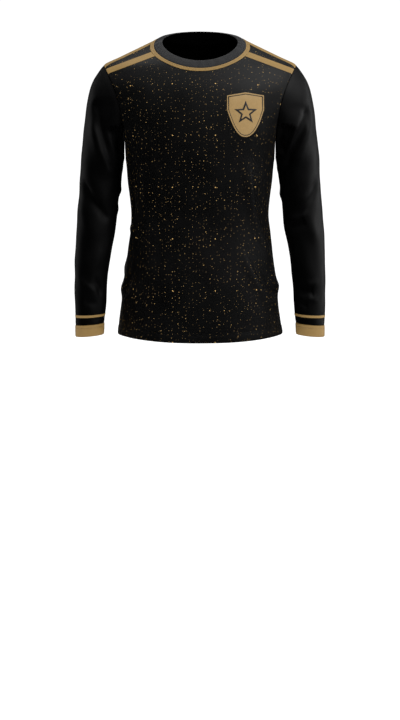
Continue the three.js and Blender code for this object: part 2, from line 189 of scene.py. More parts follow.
@dataclass(frozen=True)
class Fold:
    """A long soft fold, given by its run over a form as angle in degrees and height in metres.

    A negative rise makes a hollow. Lean is above 1 where the fold falls away slowly on one side,
    ends are the shares of its run over which it grows and fades, and square is above 2 where its
    flanks are steep.
    """

    run: tuple[tuple[float, float], ...]
    rise: float
    width: float
    lean: float = 1.0
    ends: tuple[float, float] = (0.4, 0.4)
    square: float = 2.0

    def height(self, angle: Points, z: Points, radius: float) -> Points:
        """How far the fold lifts the cloth at each point.

        Args:
            angle: Angles round the form, in radians.
            z: Heights.
            radius: The form's rough radius, which turns angles into distances.

        Returns:
            The lift in metres.
        """
        knots = np.array(self.run, float)
        places = np.linspace(0, len(knots) - 1, 8 * (len(knots) - 1) + 1)
        line = RowTable(np.column_stack([np.arange(len(knots)), knots])).at(places)
        line[:, 0] = np.radians(line[:, 0])
        best = np.full(np.shape(angle), 1e9)
        side, share = np.zeros_like(best), np.zeros_like(best)
        for number, (start, end) in enumerate(zip(line[:-1], line[1:])):
            away = (angle - start[0] + math.pi) % (2 * math.pi) - math.pi
            dx, dz = away * radius, z - start[1]
            run_x, run_z = (end[0] - start[0]) * radius, end[1] - start[1]
            along = np.clip((dx * run_x + dz * run_z) / (run_x**2 + run_z**2), 0, 1)
            gap = np.hypot(dx - along * run_x, dz - along * run_z)
            closer = gap < best
            best = np.where(closer, gap, best)
            side = np.where(closer, np.sign(dx * run_z - dz * run_x), side)
            share = np.where(closer, (number + along) / (len(line) - 1), share)
        width = np.where(side > 0, self.width * self.lean, self.width / self.lean)
        grown, faded = self.ends
        taper = smooth(share, -1e-6, grown) * smooth(1 - share, -1e-6, faded)
        return self.rise * taper * np.exp(-((best / width) ** self.square))


class Ripple:
    """Fine uneven waves, the same on every run."""

    def __init__(self, seed: int, count: int, longest: float, shortest: float) -> None:
        """Draws the waves.

        Args:
            seed: Which set of waves.
            count: How many waves are added up.
            longest: The longest wave, in metres.
            shortest: The shortest wave, in metres.
        """
        draw = np.random.default_rng(seed)
        lengths = longest * (shortest / longest) ** draw.random(count)
        turns = draw.random(count) * 2 * math.pi
        self.rates = np.column_stack([np.cos(turns), np.sin(turns)]) * (2 * math.pi / lengths)[:, None]
        self.starts = draw.random(count) * 2 * math.pi
        self.sizes = lengths / lengths.max()

    def at(self, across: Points, along: Points) -> Points:
        """The waves' sum at each place, mostly between -1 and 1."""
        total = np.zeros(np.shape(across))
        for (rate_a, rate_b), start, size in zip(self.rates, self.starts, self.sizes):
            total = total + size * np.sin(across * rate_a + along * rate_b + start)
        return total / np.sqrt(np.sum(self.sizes**2))


# ---------------------------------------------------------------- the torso form


@dataclass
class Torso:
    """The garment's body: a squared oval whose size changes down the trunk."""

    length: float = 0.694
    hem_rise: float = 0.011
    neck_point_half: float = 0.098
    shoulder_half: float = 0.223
    shoulder_drop: float = 0.060
    armhole_depth: float = 0.212
    armhole_curve: float = 2.65
    chest_half: float = 0.174
    waist_drop: float = 0.388
    waist_half: float = 0.160
    hem_half: float = 0.194
    neck_half: float = 0.106
    neck_forward: float = 0.012
    neck_front: float = 0.0635
    neck_back: float = 0.086
    radius: float = 0.165
    ripple_height: float = 0.0011
    armhole_dent: float = 0.0013
    side_seam_dent: float = 0.0009
    hem_stitching: float = 0.021
    hem_dent: float = 0.0009
    hem_thickening: float = 0.0006
    hem_roll: float = 0.0012
    folds: tuple[Fold, ...] = ()
    table: RowTable = field(init=False)
    ripple: Ripple = field(init=False)

    def __post_init__(self) -> None:
        """Builds the table of sections: drop, half width, front, back, seam line, squareness."""
        neck, shoulder = self.neck_point_half, self.shoulder_half
        drop, deep = self.shoulder_drop, self.armhole_depth
        out = shoulder - neck
        hip = self.waist_drop + 0.62 * (self.length - self.waist_drop)
        under = self.underarm
        rib_drop, rib_half = 0.5 * (under + self.waist_drop), 0.5 * (self.chest_half + self.waist_half)
        self.table = RowTable(
            [
                (-0.008, neck - 0.017, 0.034, 0.068, 0.030, 1.85),
                (0, neck, 0.038, 0.073, 0.028, 1.85),
                (0.3 * drop, neck + 0.3 * out, 0.042, 0.084, 0.022, 1.85),
                (0.7 * drop, neck + 0.7 * out, 0.058, 0.094, 0.014, 1.88),
                (drop, shoulder, 0.071, 0.100, 0.008, 1.9),
                (drop + 0.1 * deep, shoulder + 0.014, 0.084, 0.105, 0.006, 1.95),
                (drop + 0.23 * deep, shoulder + 0.020, 0.098, 0.110, 0.005, 2),
                (drop + 0.42 * deep, shoulder + 0.012, 0.110, 0.112, 0.003, 2),
                (drop + 0.65 * deep, shoulder - 0.018, 0.117, 0.110, 0.001, 2.06),
                (under, self.chest_half, 0.115, 0.103, 0, 2.15),
                (rib_drop, rib_half, 0.107, 0.095, 0, 2.2),
                (self.waist_drop, self.waist_half, 0.099, 0.088, 0, 2.2),
                (hip, self.waist_half + 0.6 * (self.hem_half - self.waist_half), 0.1088, 0.1013, 0.001, 2.2),
                (self.length, self.hem_half, 0.113, 0.107, 0.002, 2.2),
            ]
        )
        self.ripple = Ripple(11, 14, 0.16, 0.045)

    @property
    def underarm(self) -> float:
        """How far down the underarm is."""
        return self.shoulder_drop + self.armhole_depth

    def plain(self, phi: Points, drop: Points) -> Points:
        """The smooth form at angle phi from the centre front round the wearer's left, and at drop."""
        half, front, back, seam, power = np.moveaxis(self.table.at(drop), -1, 0)
        across = np.sign(np.sin(phi)) * np.abs(np.sin(phi)) ** (2 / power)
        along = np.sign(np.cos(phi)) * np.abs(np.cos(phi)) ** (2 / power)
        depth = np.where(along > 0, front + seam, back - seam)
        return np.stack([half * across, seam - depth * along, -np.asarray(drop, float) + 0 * along], -1)

    def armhole_x(self, drop: Points) -> Points:
        """The x at which the armhole cuts the torso."""
        middle = self.shoulder_drop + self.armhole_depth / 2
        height = np.clip((middle - drop) / (self.armhole_depth / 2), -1, 1)
        share = ((1 + height) / 2) ** self.armhole_curve
        past_underarm = np.maximum(0, drop - self.underarm)
        return self.chest_half + (self.shoulder_half - self.chest_half) * share + past_underarm

    def angle_at(self, x: Points, drop: Points) -> Points:
        """The angle at which the front of the torso has a given x."""
        rows = self.table.at(drop)
        return np.arcsin(np.minimum(1, np.abs(x) / rows[..., 0]) ** (rows[..., 4] / 2))

    def hem_drop(self, phi: Points) -> Points:
        """How far down the hem is at an angle."""
        return self.length - self.hem_rise * np.sin(phi) ** 2

    def lift(self, phi: Points, drop: Points, point: Points) -> Points:
        """How far folds, hem and seams move the cloth out from the smooth form."""
        total = np.zeros(np.shape(point[..., 0]))
        for fold in self.folds:
            total = total + fold.height(phi, point[..., 2], self.radius)
        wrapped = np.sin(phi) * self.radius, np.cos(phi) * self.radius
        waves = self.ripple.at(wrapped[0] + 1.7 * wrapped[1], point[..., 2] * 0.6)
        total = total + self.ripple_height * waves * smooth(drop, 0.05, 0.3)
        edge = self.armhole_x(drop) - np.abs(point[..., 0])
        near_armhole = smooth(drop, self.underarm + 0.05, self.underarm)
        total = total * (1 - near_armhole * smooth(edge, 0.035, 0.0))
        forward = (point[..., 1] + self.neck_forward) / self.neck_front
        neck = np.hypot(point[..., 0] / self.neck_half, forward)
        total = total * (1 - smooth(neck, 1.5, 1.1) * smooth(drop, 0.12, 0.06))
        seam = np.exp(-((edge / 0.0035) ** 2)) * near_armhole
        side = np.abs(np.cos(phi)) ** 0.9 * 0.12
        side_seam = np.exp(-((side / 0.003) ** 2)) * smooth(drop, self.underarm - 0.01, self.underarm)
        above_hem = self.hem_drop(phi) - drop
        stitching = np.exp(-(((above_hem - self.hem_stitching) / 0.0022) ** 2))
        hem = smooth(above_hem, 0.0225, 0.0195) * self.hem_thickening - self.hem_dent * stitching
        roll = -self.hem_roll * smooth(above_hem, 0.0035, 0.0)
        return total - self.armhole_dent * seam - self.side_seam_dent * side_seam + hem + roll

    def at(self, phi: Points, drop: Points) -> Points:
        """The draped cloth at each angle and drop."""
        phi, drop = np.broadcast_arrays(np.asarray(phi, float), np.asarray(drop, float))
        point = self.plain(phi, drop)
        normal = slope_normal(self.plain, phi, drop, *TORSO_STEPS)
        return point + normal * self.lift(phi, drop, point)[..., None]

    def under(self, x: Points, y: Points) -> tuple[Points, Points]:
        """The angle and drop of the form's point that is seen at x, y from above, near the neck.

        Args:
            x: Places across.
            y: Places front to back.

        Returns:
            The angles and the drops.
        """
        high, low = np.full(np.shape(x), -0.008), np.full(np.shape(x), self.shoulder_drop + 0.04)
        for _ in range(NECK_HALVINGS):
            middle = (high + low) / 2
            half, front, back, seam, power = np.moveaxis(self.table.at(middle), -1, 0)
            depth = np.where(y < seam, front + seam, back - seam)
            outside = (np.abs(x) / half) ** power + (np.abs(y - seam) / depth) ** power > 1
            high, low = np.where(outside, middle, high), np.where(outside, low, middle)
        half, _, _, seam, power = np.moveaxis(self.table.at(high), -1, 0)
        phi = np.arcsin(np.minimum(1, np.abs(x) / half) ** (power / 2))
        phi = np.where(y < seam, phi, math.pi - phi)
        return np.where(x < 0, -phi, phi), high

    def neck_reach(self, out: float, forward: Points) -> tuple[Points, Points]:
        """Half width and reach of the neckline, moved outwards over the cloth by out."""
        reach = np.where(forward > 0, self.neck_front + out * 0.42, self.neck_back + out * 0.55)
        return self.neck_half + out * 0.9, reach

    def neckline(self, alpha: Points, out: Points) -> Points:
        """The draped cloth at angle alpha round the neck, moved outwards by out."""
        half, reach = self.neck_reach(out, np.cos(alpha))
        return self.at(*self.under(half * np.sin(alpha), -reach * np.cos(alpha) - self.neck_forward))

    def outside_neck(self, out: float) -> CutFn:
        """A cut that keeps what lies outside the neckline moved outwards by out."""

        def keep(phi: Points, drop: Points) -> Points:
            point = self.plain(phi, drop)
            back = point[..., 1] + self.neck_forward
            half, reach = self.neck_reach(out, -back)
            return (point[..., 0] / half) ** 2 + (back / reach) ** 2 - 1

        return keep

    def clear_of_armhole(self, gap: float) -> CutFn:
        """A cut that keeps what lies inside the armholes by gap."""
        return lambda phi, drop: self.armhole_x(drop) - gap - np.abs(self.plain(phi, drop)[..., 0])

    def above_hem(self, phi: Points, drop: Points) -> Points:
        """Positive above the hem."""
        return self.hem_drop(phi) - drop

    def forward_of_ridge(self, phi: Points, drop: Points) -> Points:
        """How far in front of the shoulder and side seam line a point is."""
        return self.table.at(drop)[..., 3] - self.plain(phi, drop)[..., 1]

    def below_shoulder(self, phi: Points, drop: Points) -> Points:
        """How far below the shoulder line a point looks from the front."""
        slope = self.shoulder_drop / (self.shoulder_half - self.neck_point_half)
        return drop - slope * (np.abs(self.plain(phi, drop)[..., 0]) - self.neck_point_half)


def slope_normal(surface: SurfaceFn, p: Points, q: Points, dp: float, dq: float) -> Points:
    """The unit normal of a surface, down times across, at each p and q.

    Args:
        surface: The surface.
        p: Its first parameter.
        q: Its second parameter.
        dp: The step to take in p.
        dq: The step to take in q.

    Returns:
        One unit vector for each point.
    """
    across = surface(p + dp, q) - surface(p - dp, q)
    down = surface(p, q + dq) - surface(p, q - dq)
    return unit(np.cross(down, across))


# ---------------------------------------------------------------- the sleeve form


@dataclass
class Sleeve:
    """A sleeve: rings that run from the armhole seam down the arm to the cuff's end."""

    torso: Torso
    side: Side
    length: float = 0.519
    upper_arm_half: float = 0.053
    elbow_half: float = 0.046
    wrist_half: float = 0.033
    seam_gap: float = 0.0006
    radius: float = 0.05
    ripple_height: float = 0.0009
    armhole_dent: float = 0.0013
    cuff_dent: float = 0.0005
    under_seam_dent: float = 0.0009
    folds: tuple[Fold, ...] = ()
    columns: int = 720
    grid: Points = field(init=False)
    ripple: Ripple = field(init=False)

    CUFF, END = 10, 11

    def __post_init__(self) -> None:
        """Lays out the rings."""
        self.shares = np.array([0, 0.055, 0.115, 0.196, 0.289, 0.361, 0.485, 0.608, 0.753, 0.876, 0.948, 1])
        self.grid = self._rings()
        self.ripple = Ripple(23 if self.side is Side.LEFT else 37, 12, 0.09, 0.03)

    def _rings(self) -> Points:
        """The rings' points, for evenly spaced turns, one row of the array for each ring."""
        torso, upper, elbow, wrist = self.torso, self.upper_arm_half, self.elbow_half, self.wrist_half
        turn = np.linspace(0, 2 * math.pi, self.columns, endpoint=False)
        half_way = (torso.shoulder_half + torso.chest_half) / 2
        middle = np.array([half_way, 0.002, -(torso.shoulder_drop + torso.armhole_depth / 2)])
        drop = torso.shoulder_drop + torso.armhole_depth / 2 * (1 - np.cos(turn))
        phi = torso.angle_at(torso.armhole_x(drop), drop)
        seam = torso.plain(np.where(np.sin(turn) >= 0, phi, math.pi - phi), drop)
        seam[:, 0] += self.seam_gap
        # Each ring after the seam: across from the armhole's middle, forward from it, half across,
        # half front to back, tilt in degrees.
        rows = (
            (0.015, -0.001, upper + 0.047, upper + 0.012, 69),
            (0.022, -0.001, upper + 0.033, upper + 0.011, 61),
            (0.028, -0.002, upper + 0.011, upper + 0.007, 45),
            (0.033, -0.003, upper, upper + 0.003, 30),
            (0.037, -0.003, elbow + 0.002, elbow + 0.007, 15),
            (0.042, -0.001, elbow, elbow + 0.004, 7),
            (0.050, 0.005, elbow - 0.003, elbow + 0.001, 5),
            (0.056, 0.013, (elbow + wrist) / 2 - 0.001, (elbow + wrist) / 2 + 0.002, 2),
            (0.0575, 0.020, wrist + 0.003, wrist + 0.005, -2),
            (0.0585, 0.024, wrist + 0.001, wrist + 0.003, -4.5),
            (0.059, 0.027, wrist, wrist + 0.002, -5),
        )
        rings = [seam]
        for share, (across, forward, half, deep, tilt) in zip(self.shares[1:], rows):
            tip = math.radians(tilt)
            centre = middle + np.array([across, -forward, -share * self.length])
            outward = np.array([math.cos(tip), 0, math.sin(tip)])
            sideways = half * np.cos(turn)[:, None] * outward
            backward = deep * np.sin(turn)[:, None] * np.array([0, 1, 0])
            rings.append(centre + sideways - backward)
        return np.array(rings)

    def plain(self, turn: Points, ring: Points) -> Points:
        """The smooth sleeve at a turn from the shoulder point round the front, and at a ring number."""
        turn, ring = np.broadcast_arrays(np.asarray(turn, float), np.asarray(ring, float))
        ring = np.clip(ring, 0, self.END)
        i = np.clip(ring.astype(int), 0, self.END - 1)
        t = (ring - i)[..., None]
        place = (turn % (2 * math.pi)) / (2 * math.pi) * self.columns
        column = place.astype(int)
        side = (place - column)[..., None]
        first, second = column % self.columns, (column + 1) % self.columns

        def knot(number: Points) -> Points:
            inside = np.clip(number, 0, self.END)
            point = self.grid[inside, first] * (1 - side) + self.grid[inside, second] * side
            beyond = number > self.END
            if np.any(beyond):
                last = self.grid[self.END, first] * 2 - self.grid[self.END - 1, first]
                point = np.where(beyond[..., None], last, point)
            before = number < 0
            if np.any(before):
                start = self.grid[0, first] * 2 - self.grid[1, first]
                point = np.where(before[..., None], start, point)
            return point

        a, b, c, d = knot(i - 1), knot(i), knot(i + 1), knot(i + 2)
        square, cube = 2 * a - 5 * b + 4 * c - d, 3 * b - a - 3 * c + d
        point = 0.5 * (2 * b + (c - a) * t + square * t**2 + cube * t**3)
        return point * np.array([self.side.value, 1, 1])

    def lift(self, turn: Points, ring: Points, point: Points) -> Points:
        """How far folds and seams move the cloth out from the smooth sleeve."""
        total = np.zeros(np.shape(point[..., 0]))
        for fold in self.folds:
            total = total + fold.height(turn, point[..., 2], self.radius)
        wrapped = np.cos(turn) * self.radius + 0.6 * np.sin(turn) * self.radius
        waves = self.ripple.at(wrapped, point[..., 2] * 0.7)
        total = total + self.ripple_height * waves * smooth(ring, 1.0, 4.0)
        total = total * smooth(ring, 0.0, 0.5) * smooth(ring, self.CUFF, self.CUFF - 0.5)
        seam = np.exp(-((ring / 0.14) ** 2))
        cuff_seam = np.exp(-(((ring - self.CUFF) / 0.1) ** 2))
        under = np.exp(-(((turn % (2 * math.pi) - math.pi) / 0.045) ** 2)) * smooth(ring, 0, 0.3)
        return total - self.armhole_dent * seam - self.cuff_dent * cuff_seam - self.under_seam_dent * under

    def at(self, turn: Points, ring: Points) -> Points:
        """The draped sleeve at each turn and ring number."""
        turn, ring = np.broadcast_arrays(np.asarray(turn, float), np.asarray(ring, float))
        point = self.plain(turn, ring)
        normal = -self.side.value * slope_normal(self.plain, turn, ring, *SLEEVE_STEPS)
        return point + normal * self.lift(turn, ring, point)[..., None]

    def ring_up(self, height: float) -> float:
        """The ring number at a height above the cuff's end."""
        return float(np.interp(1 - height / self.length, self.shares, np.arange(len(self.shares))))


# ---------------------------------------------------------------- meshes on a form


@dataclass
class MeshData:
    """Vertices, faces and texture places of a piece, before it becomes an object."""

    points: Points
    faces: list[tuple[int, ...]]
    uv: Optional[Points] = None
    sharp: set[tuple[int, int]] = field(default_factory=set)
    lining: Optional[Points] = None

    def build(self, name: str) -> bpy.types.Object:
        """A smooth-shaded object with these faces, its texture places in metres.

        Args:
            name: The piece's name.

        Returns:
            The new object, linked to the scene.
        """
        mesh = bpy.data.meshes.new(name)
        mesh.from_pydata(self.points.tolist(), [], self.faces)
        mesh.update()
        if self.uv is not None:
            corners = np.zeros(len(mesh.loops), np.int32)
            mesh.loops.foreach_get("vertex_index", corners)
            layer = mesh.uv_layers.new(name="cloth")
            layer.data.foreach_set("uv", self.uv[corners].astype(np.float32).ravel())
        mesh.polygons.foreach_set("use_smooth", [True] * len(mesh.polygons))
        if self.lining is not None:
            mesh.polygons.foreach_set("material_index", self.lining.astype(np.int32))
        if self.sharp:
            flags = [tuple(sorted(edge.vertices)) in self.sharp for edge in mesh.edges]
            layer = mesh.attributes.new("sharp_edge", "BOOLEAN", "EDGE")
            layer.data.foreach_set("value", flags)
        piece = bpy.data.objects.new(name, mesh)
        bpy.context.scene.collection.objects.link(piece)
        return piece


def joined(parts: Sequence[MeshData]) -> MeshData:
    """Several lots of vertices and faces as one."""
    points, faces, uvs, sharp, base = [], [], [], set(), 0
    for part in parts:
        points.append(part.points)
        faces += [tuple(v + base for v in face) for face in part.faces]
        uvs.append(part.uv if part.uv is not None else np.zeros((len(part.points), 2)))
        sharp |= {(a + base, b + base) for a, b in part.sharp}
        base += len(part.points)
    return MeshData(np.concatenate(points), faces, np.concatenate(uvs), sharp)


def lengths_over(surface: SurfaceFn, p: Points, q: Points) -> Points:
    """Texture places over a grid: the cloth's own lengths across and down it, in metres.

    Args:
        surface: The surface.
        p: The grid's values across.
        q: The grid's values down.

    Returns:
        An array of shape (across, down, 2).
    """
    grid_p, grid_q = np.meshgrid(p, q, indexing="ij")
    points = surface(grid_p, grid_q)
    across = np.linalg.norm(np.diff(points, axis=0), axis=-1)
    down = np.linalg.norm(np.diff(points, axis=1), axis=-1)
    u = np.concatenate([np.zeros((1, len(q))), np.cumsum(across, axis=0)])
    u = u - u[len(p) // 2]
    v = np.concatenate([np.zeros((len(p), 1)), np.cumsum(down, axis=1)], axis=1)
    v = v - v[:, -1:]
    return np.stack([u, -v], -1)


@dataclass
class Patch:
    """A sheet of cloth over part of a form, with its thickness between two offsets."""

    surface: SurfaceFn
    across: Points
    down: Points
    inner: float
    outer: float
    flip: bool = False
    wraps: bool = False
    cuts: tuple[CutFn, ...] = ()
    steps: tuple[float, float] = TORSO_STEPS
    uv_surface: Optional[SurfaceFn] = None

    def _cells(self) -> list[tuple[tuple[float, float, float, float], ...]]:
        """The grid's cells as polygons of (p, q, u, v) corners."""
        uv = lengths_over(self.uv_surface or self.surface, self.across, self.down)
        cells = []
        for i in range(len(self.across) - 1):
            for j in range(len(self.down) - 1):
                ring = ((i, j), (i, j + 1), (i + 1, j + 1), (i + 1, j))
                cells.append(tuple((self.across[a], self.down[b], *uv[a, b]) for a, b in ring))
        return cells

    @staticmethod
    def _clip(cells: list, cut: CutFn) -> list:
        """The cells' parts on which cut is positive."""
        flat = np.array([corner for cell in cells for corner in cell])
        inside = cut(flat[:, 0], flat[:, 1]) > 0
        kept, crossing, base = [], [], 0
        for cell in cells:
            flags = inside[base : base + len(cell)]
            base += len(cell)
            if flags.all():
                kept.append(cell)
            elif flags.any():
                crossing.append((cell, flags))
        if not crossing:
            return kept
        pairs = []
        for cell, flags in crossing:
            for n in range(len(cell)):
                m = (n + 1) % len(cell)
                if flags[n] != flags[m]:
                    pairs.append((cell[n], cell[m]) if flags[n] else (cell[m], cell[n]))
        good, bad = np.array([a for a, _ in pairs]), np.array([b for _, b in pairs])
        for _ in range(CUT_HALVINGS):
            middle = (good + bad) / 2
            passed = (cut(middle[:, 0], middle[:, 1]) > 0)[:, None]
            good, bad = np.where(passed, middle, good), np.where(passed, bad, middle)
        found = iter(good)
        for cell, flags in crossing:
            corners = []
            for n, corner in enumerate(cell):
                if flags[n]:
                    corners.append(corner)
                if flags[n] != flags[(n + 1) % len(cell)]:
                    corners.append(tuple(next(found)))
            kept.append(tuple(corners))
        return kept

    def data(self) -> MeshData:
        """The patch's closed sheet."""
        cells = self._cells()
        for cut in self.cuts:
            cells = self._clip(cells, cut)
        numbers: dict[tuple, int] = {}
        corners, faces = [], []
        for cell in cells:
            ring = []
            for corner in cell:
                p = corner[0]
                if self.wraps and abs(p - self.across[-1]) < 1e-9:
                    p = self.across[0]
                key = (round(p, 7), round(corner[1], 7))
                if key not in numbers:
                    numbers[key] = len(corners)
                    corners.append((p, *corner[1:]))
                if not ring or ring[-1] != numbers[key]:
                    ring.append(numbers[key])
            if ring[0] == ring[-1]:
                ring.pop()
            if len(ring) > 2:
                faces.append(tuple(ring) if not self.flip else tuple(reversed(ring)))
        table = np.array(corners)
        p, q = table[:, 0], table[:, 1]
        points = self.surface(p, q)
        normal = slope_normal(self.surface, p, q, *self.steps) * (-1 if self.flip else 1)
        count = len(points)
        edges = {(ring[n], ring[(n + 1) % len(ring)]) for ring in faces for n in range(len(ring))}
        shell = list(faces) + [tuple(v + count for v in reversed(ring)) for ring in faces]
        sharp = set()
        for a, b in edges:
            if (b, a) not in edges:
                shell.append((b, a, a + count, b + count))
                sharp |= {tuple(sorted((a, b))), tuple(sorted((a + count, b + count)))}
        both = np.concatenate([points + normal * self.outer, points + normal * self.inner])
        lining = np.arange(len(shell)) >= len(faces)
        return MeshData(both, shell, np.concatenate([table[:, 2:]] * 2), sharp, lining)


@dataclass
class Band:
    """A closed band that runs along a form, with a rounded section.

    The section is a closed list of (second parameter, offset from the cloth).
    """

    surface: SurfaceFn
    run: Points
    section: Sequence[tuple[float, float]]
    flip: bool = False
    steps: tuple[float, float] = TORSO_STEPS
    relief: Optional[Callable[[Points, Points], Points]] = None
    lined_below: float = -1.0

    def data(self) -> MeshData:
        """The band's closed mesh."""
        run = self.run[:-1]
        section = np.array(self.section)
        p, q = (grid.ravel() for grid in np.meshgrid(run, section[:, 0], indexing="ij"))
        offset = np.tile(section[:, 1], len(run))
        if self.relief is not None:
            offset = offset + self.relief(p, offset)
        normal = slope_normal(self.surface, p, q, *self.steps) * (-1 if self.flip else 1)
        points = self.surface(p, q) + normal * offset[:, None]
        rings, size = len(run), len(section)
        faces = []
        for i in range(rings):
            nxt = (i + 1) % rings
            for j in range(size):
                k = (j + 1) % size
                face = (i * size + j, i * size + k, nxt * size + k, nxt * size + j)
                faces.append(face[::-1] if self.flip else face)
        grid = points.reshape(rings, size, 3)
        along = np.concatenate([[0], np.cumsum(np.linalg.norm(np.diff(grid[:, 0], axis=0), axis=-1))])
        around = np.concatenate([[0], np.cumsum(np.linalg.norm(np.diff(grid[0], axis=0), axis=-1))])
        uv = np.stack(np.meshgrid(along, around, indexing="ij"), -1).reshape(-1, 2)
        lining = np.tile(section[:, 1] < self.lined_below, rings)
        return MeshData(points, faces, uv, lining=lining)


def stitches(path: Points, normal: Points, length: float, gap: float, radius: float) -> MeshData:
    """A row of separate stitches, each a short pill of thread that dips at both ends.

    Args:
        path: Points along the row.
        normal: The cloth's outward direction at each of them.
        length: One stitch's length.
        gap: The space between two stitches.
        radius: The thread's radius.

    Returns:
        The row's mesh.
    """
    lengths = np.concatenate([[0], np.cumsum(np.linalg.norm(np.diff(path, axis=0), axis=-1))])
    count = int(lengths[-1] / (length + gap))
    starts = (np.arange(count) + 0.5) * lengths[-1] / count - length / 2
    shares = np.array([0, 0.15, 0.5, 0.85, 1])
    thick = np.array([0.35, 0.9, 1, 0.9, 0.35]) * radius
    sink = np.array([-0.7, 0.2, 0.6, 0.2, -0.7]) * radius
    places = starts[:, None] + shares[None, :] * length
    centre = np.stack([np.interp(places, lengths, path[:, k]) for k in range(3)], -1)
    up = unit(np.stack([np.interp(places, lengths, normal[:, k]) for k in range(3)], -1))
    ahead = unit(np.gradient(centre, axis=1))
    across = unit(np.cross(up, ahead))
    centre = centre + up * sink[None, :, None]
    sides = 6
    angles = np.arange(sides) * 2 * math.pi / sides
    ring = np.cos(angles)[:, None] * across[:, :, None, :] + np.sin(angles)[:, None] * up[:, :, None, :]
    points = centre[:, :, None, :] + ring * thick[None, :, None, None]
    faces = []
    for n in range(count):
        base = n * len(shares) * sides
        for i in range(len(shares) - 1):
            for j in range(sides):
                k = (j + 1) % sides
                a, b = base + i * sides, base + (i + 1) * sides
                faces.append((a + j, b + j, b + k, a + k))
        faces.append(tuple(base + j for j in range(sides)))
        faces.append(tuple(base + (len(shares) - 1) * sides + j for j in reversed(range(sides))))
    uv = np.stack([np.repeat(places.ravel(), sides), np.tile(angles * radius, count * len(shares))], -1)
    return MeshData(points.reshape(-1, 3), faces, uv)


def row_on(surface: SurfaceFn, p: Points, q: float, flip: bool, raise_by: float) -> tuple[Points, Points]:
    """Points and outward directions along a row on a surface, for stitches.

    Args:
        surface: The surface.
        p: The row's places.
        q: The row's second parameter.
        flip: True where down times across points inwards.
        raise_by: How far the row lies above the surface.

    Returns:
        The points and the directions.
    """
    second = np.full(np.shape(p), q)
    normal = slope_normal(surface, p, second, *TORSO_STEPS) * (-1 if flip else 1)
    return surface(p, second) + normal * raise_by, normal


# ---------------------------------------------------------------- shader maths

Value = Union[float, "Wire"]


class Wire:
    """A shader value or vector whose arithmetic adds the nodes that work it out."""

    def __init__(self, kit: "ShaderKit", socket: bpy.types.NodeSocket) -> None:
        """Wraps a socket.

        Args:
            kit: The material's node maker.
            socket: The output socket that holds the value.
        """
        self.kit, self.socket = kit, socket

    def _math(self, operation: str, *values: Value) -> "Wire":
        """A Math node's result."""
        return self.kit.node("ShaderNodeMath", {"operation": operation}, *values)

    def __add__(self, other: Value) -> "Wire":
        """Sum."""
        return self._math("ADD", self, other)

    def __sub__(self, other: Value) -> "Wire":
        """Difference."""
        return self._math("SUBTRACT", self, other)

    def __mul__(self, other: Value) -> "Wire":
        """Product."""
        return self._math("MULTIPLY", self, other)

    def __truediv__(self, other: Value) -> "Wire":
        """Quotient."""
        return self._math("DIVIDE", self, other)

    def __gt__(self, other: Value) -> "Wire":
        """1 where greater, else 0."""
        return self._math("GREATER_THAN", self, other)

    def sine(self) -> "Wire":
        """Sine."""
        return self._math("SINE", self)

    def largest(self, other: Value) -> "Wire":
        """The larger of two."""
        return self._math("MAXIMUM", self, other)

    def within(self, low: float, high: float) -> "Wire":
        """A smooth step from 0 at low to 1 at high, or down where high is the lower."""
        settings = {"interpolation_type": "SMOOTHSTEP"}
        values = {"Value": self, "From Min": low, "From Max": high}
        return self.kit.node("ShaderNodeMapRange", settings, **values)


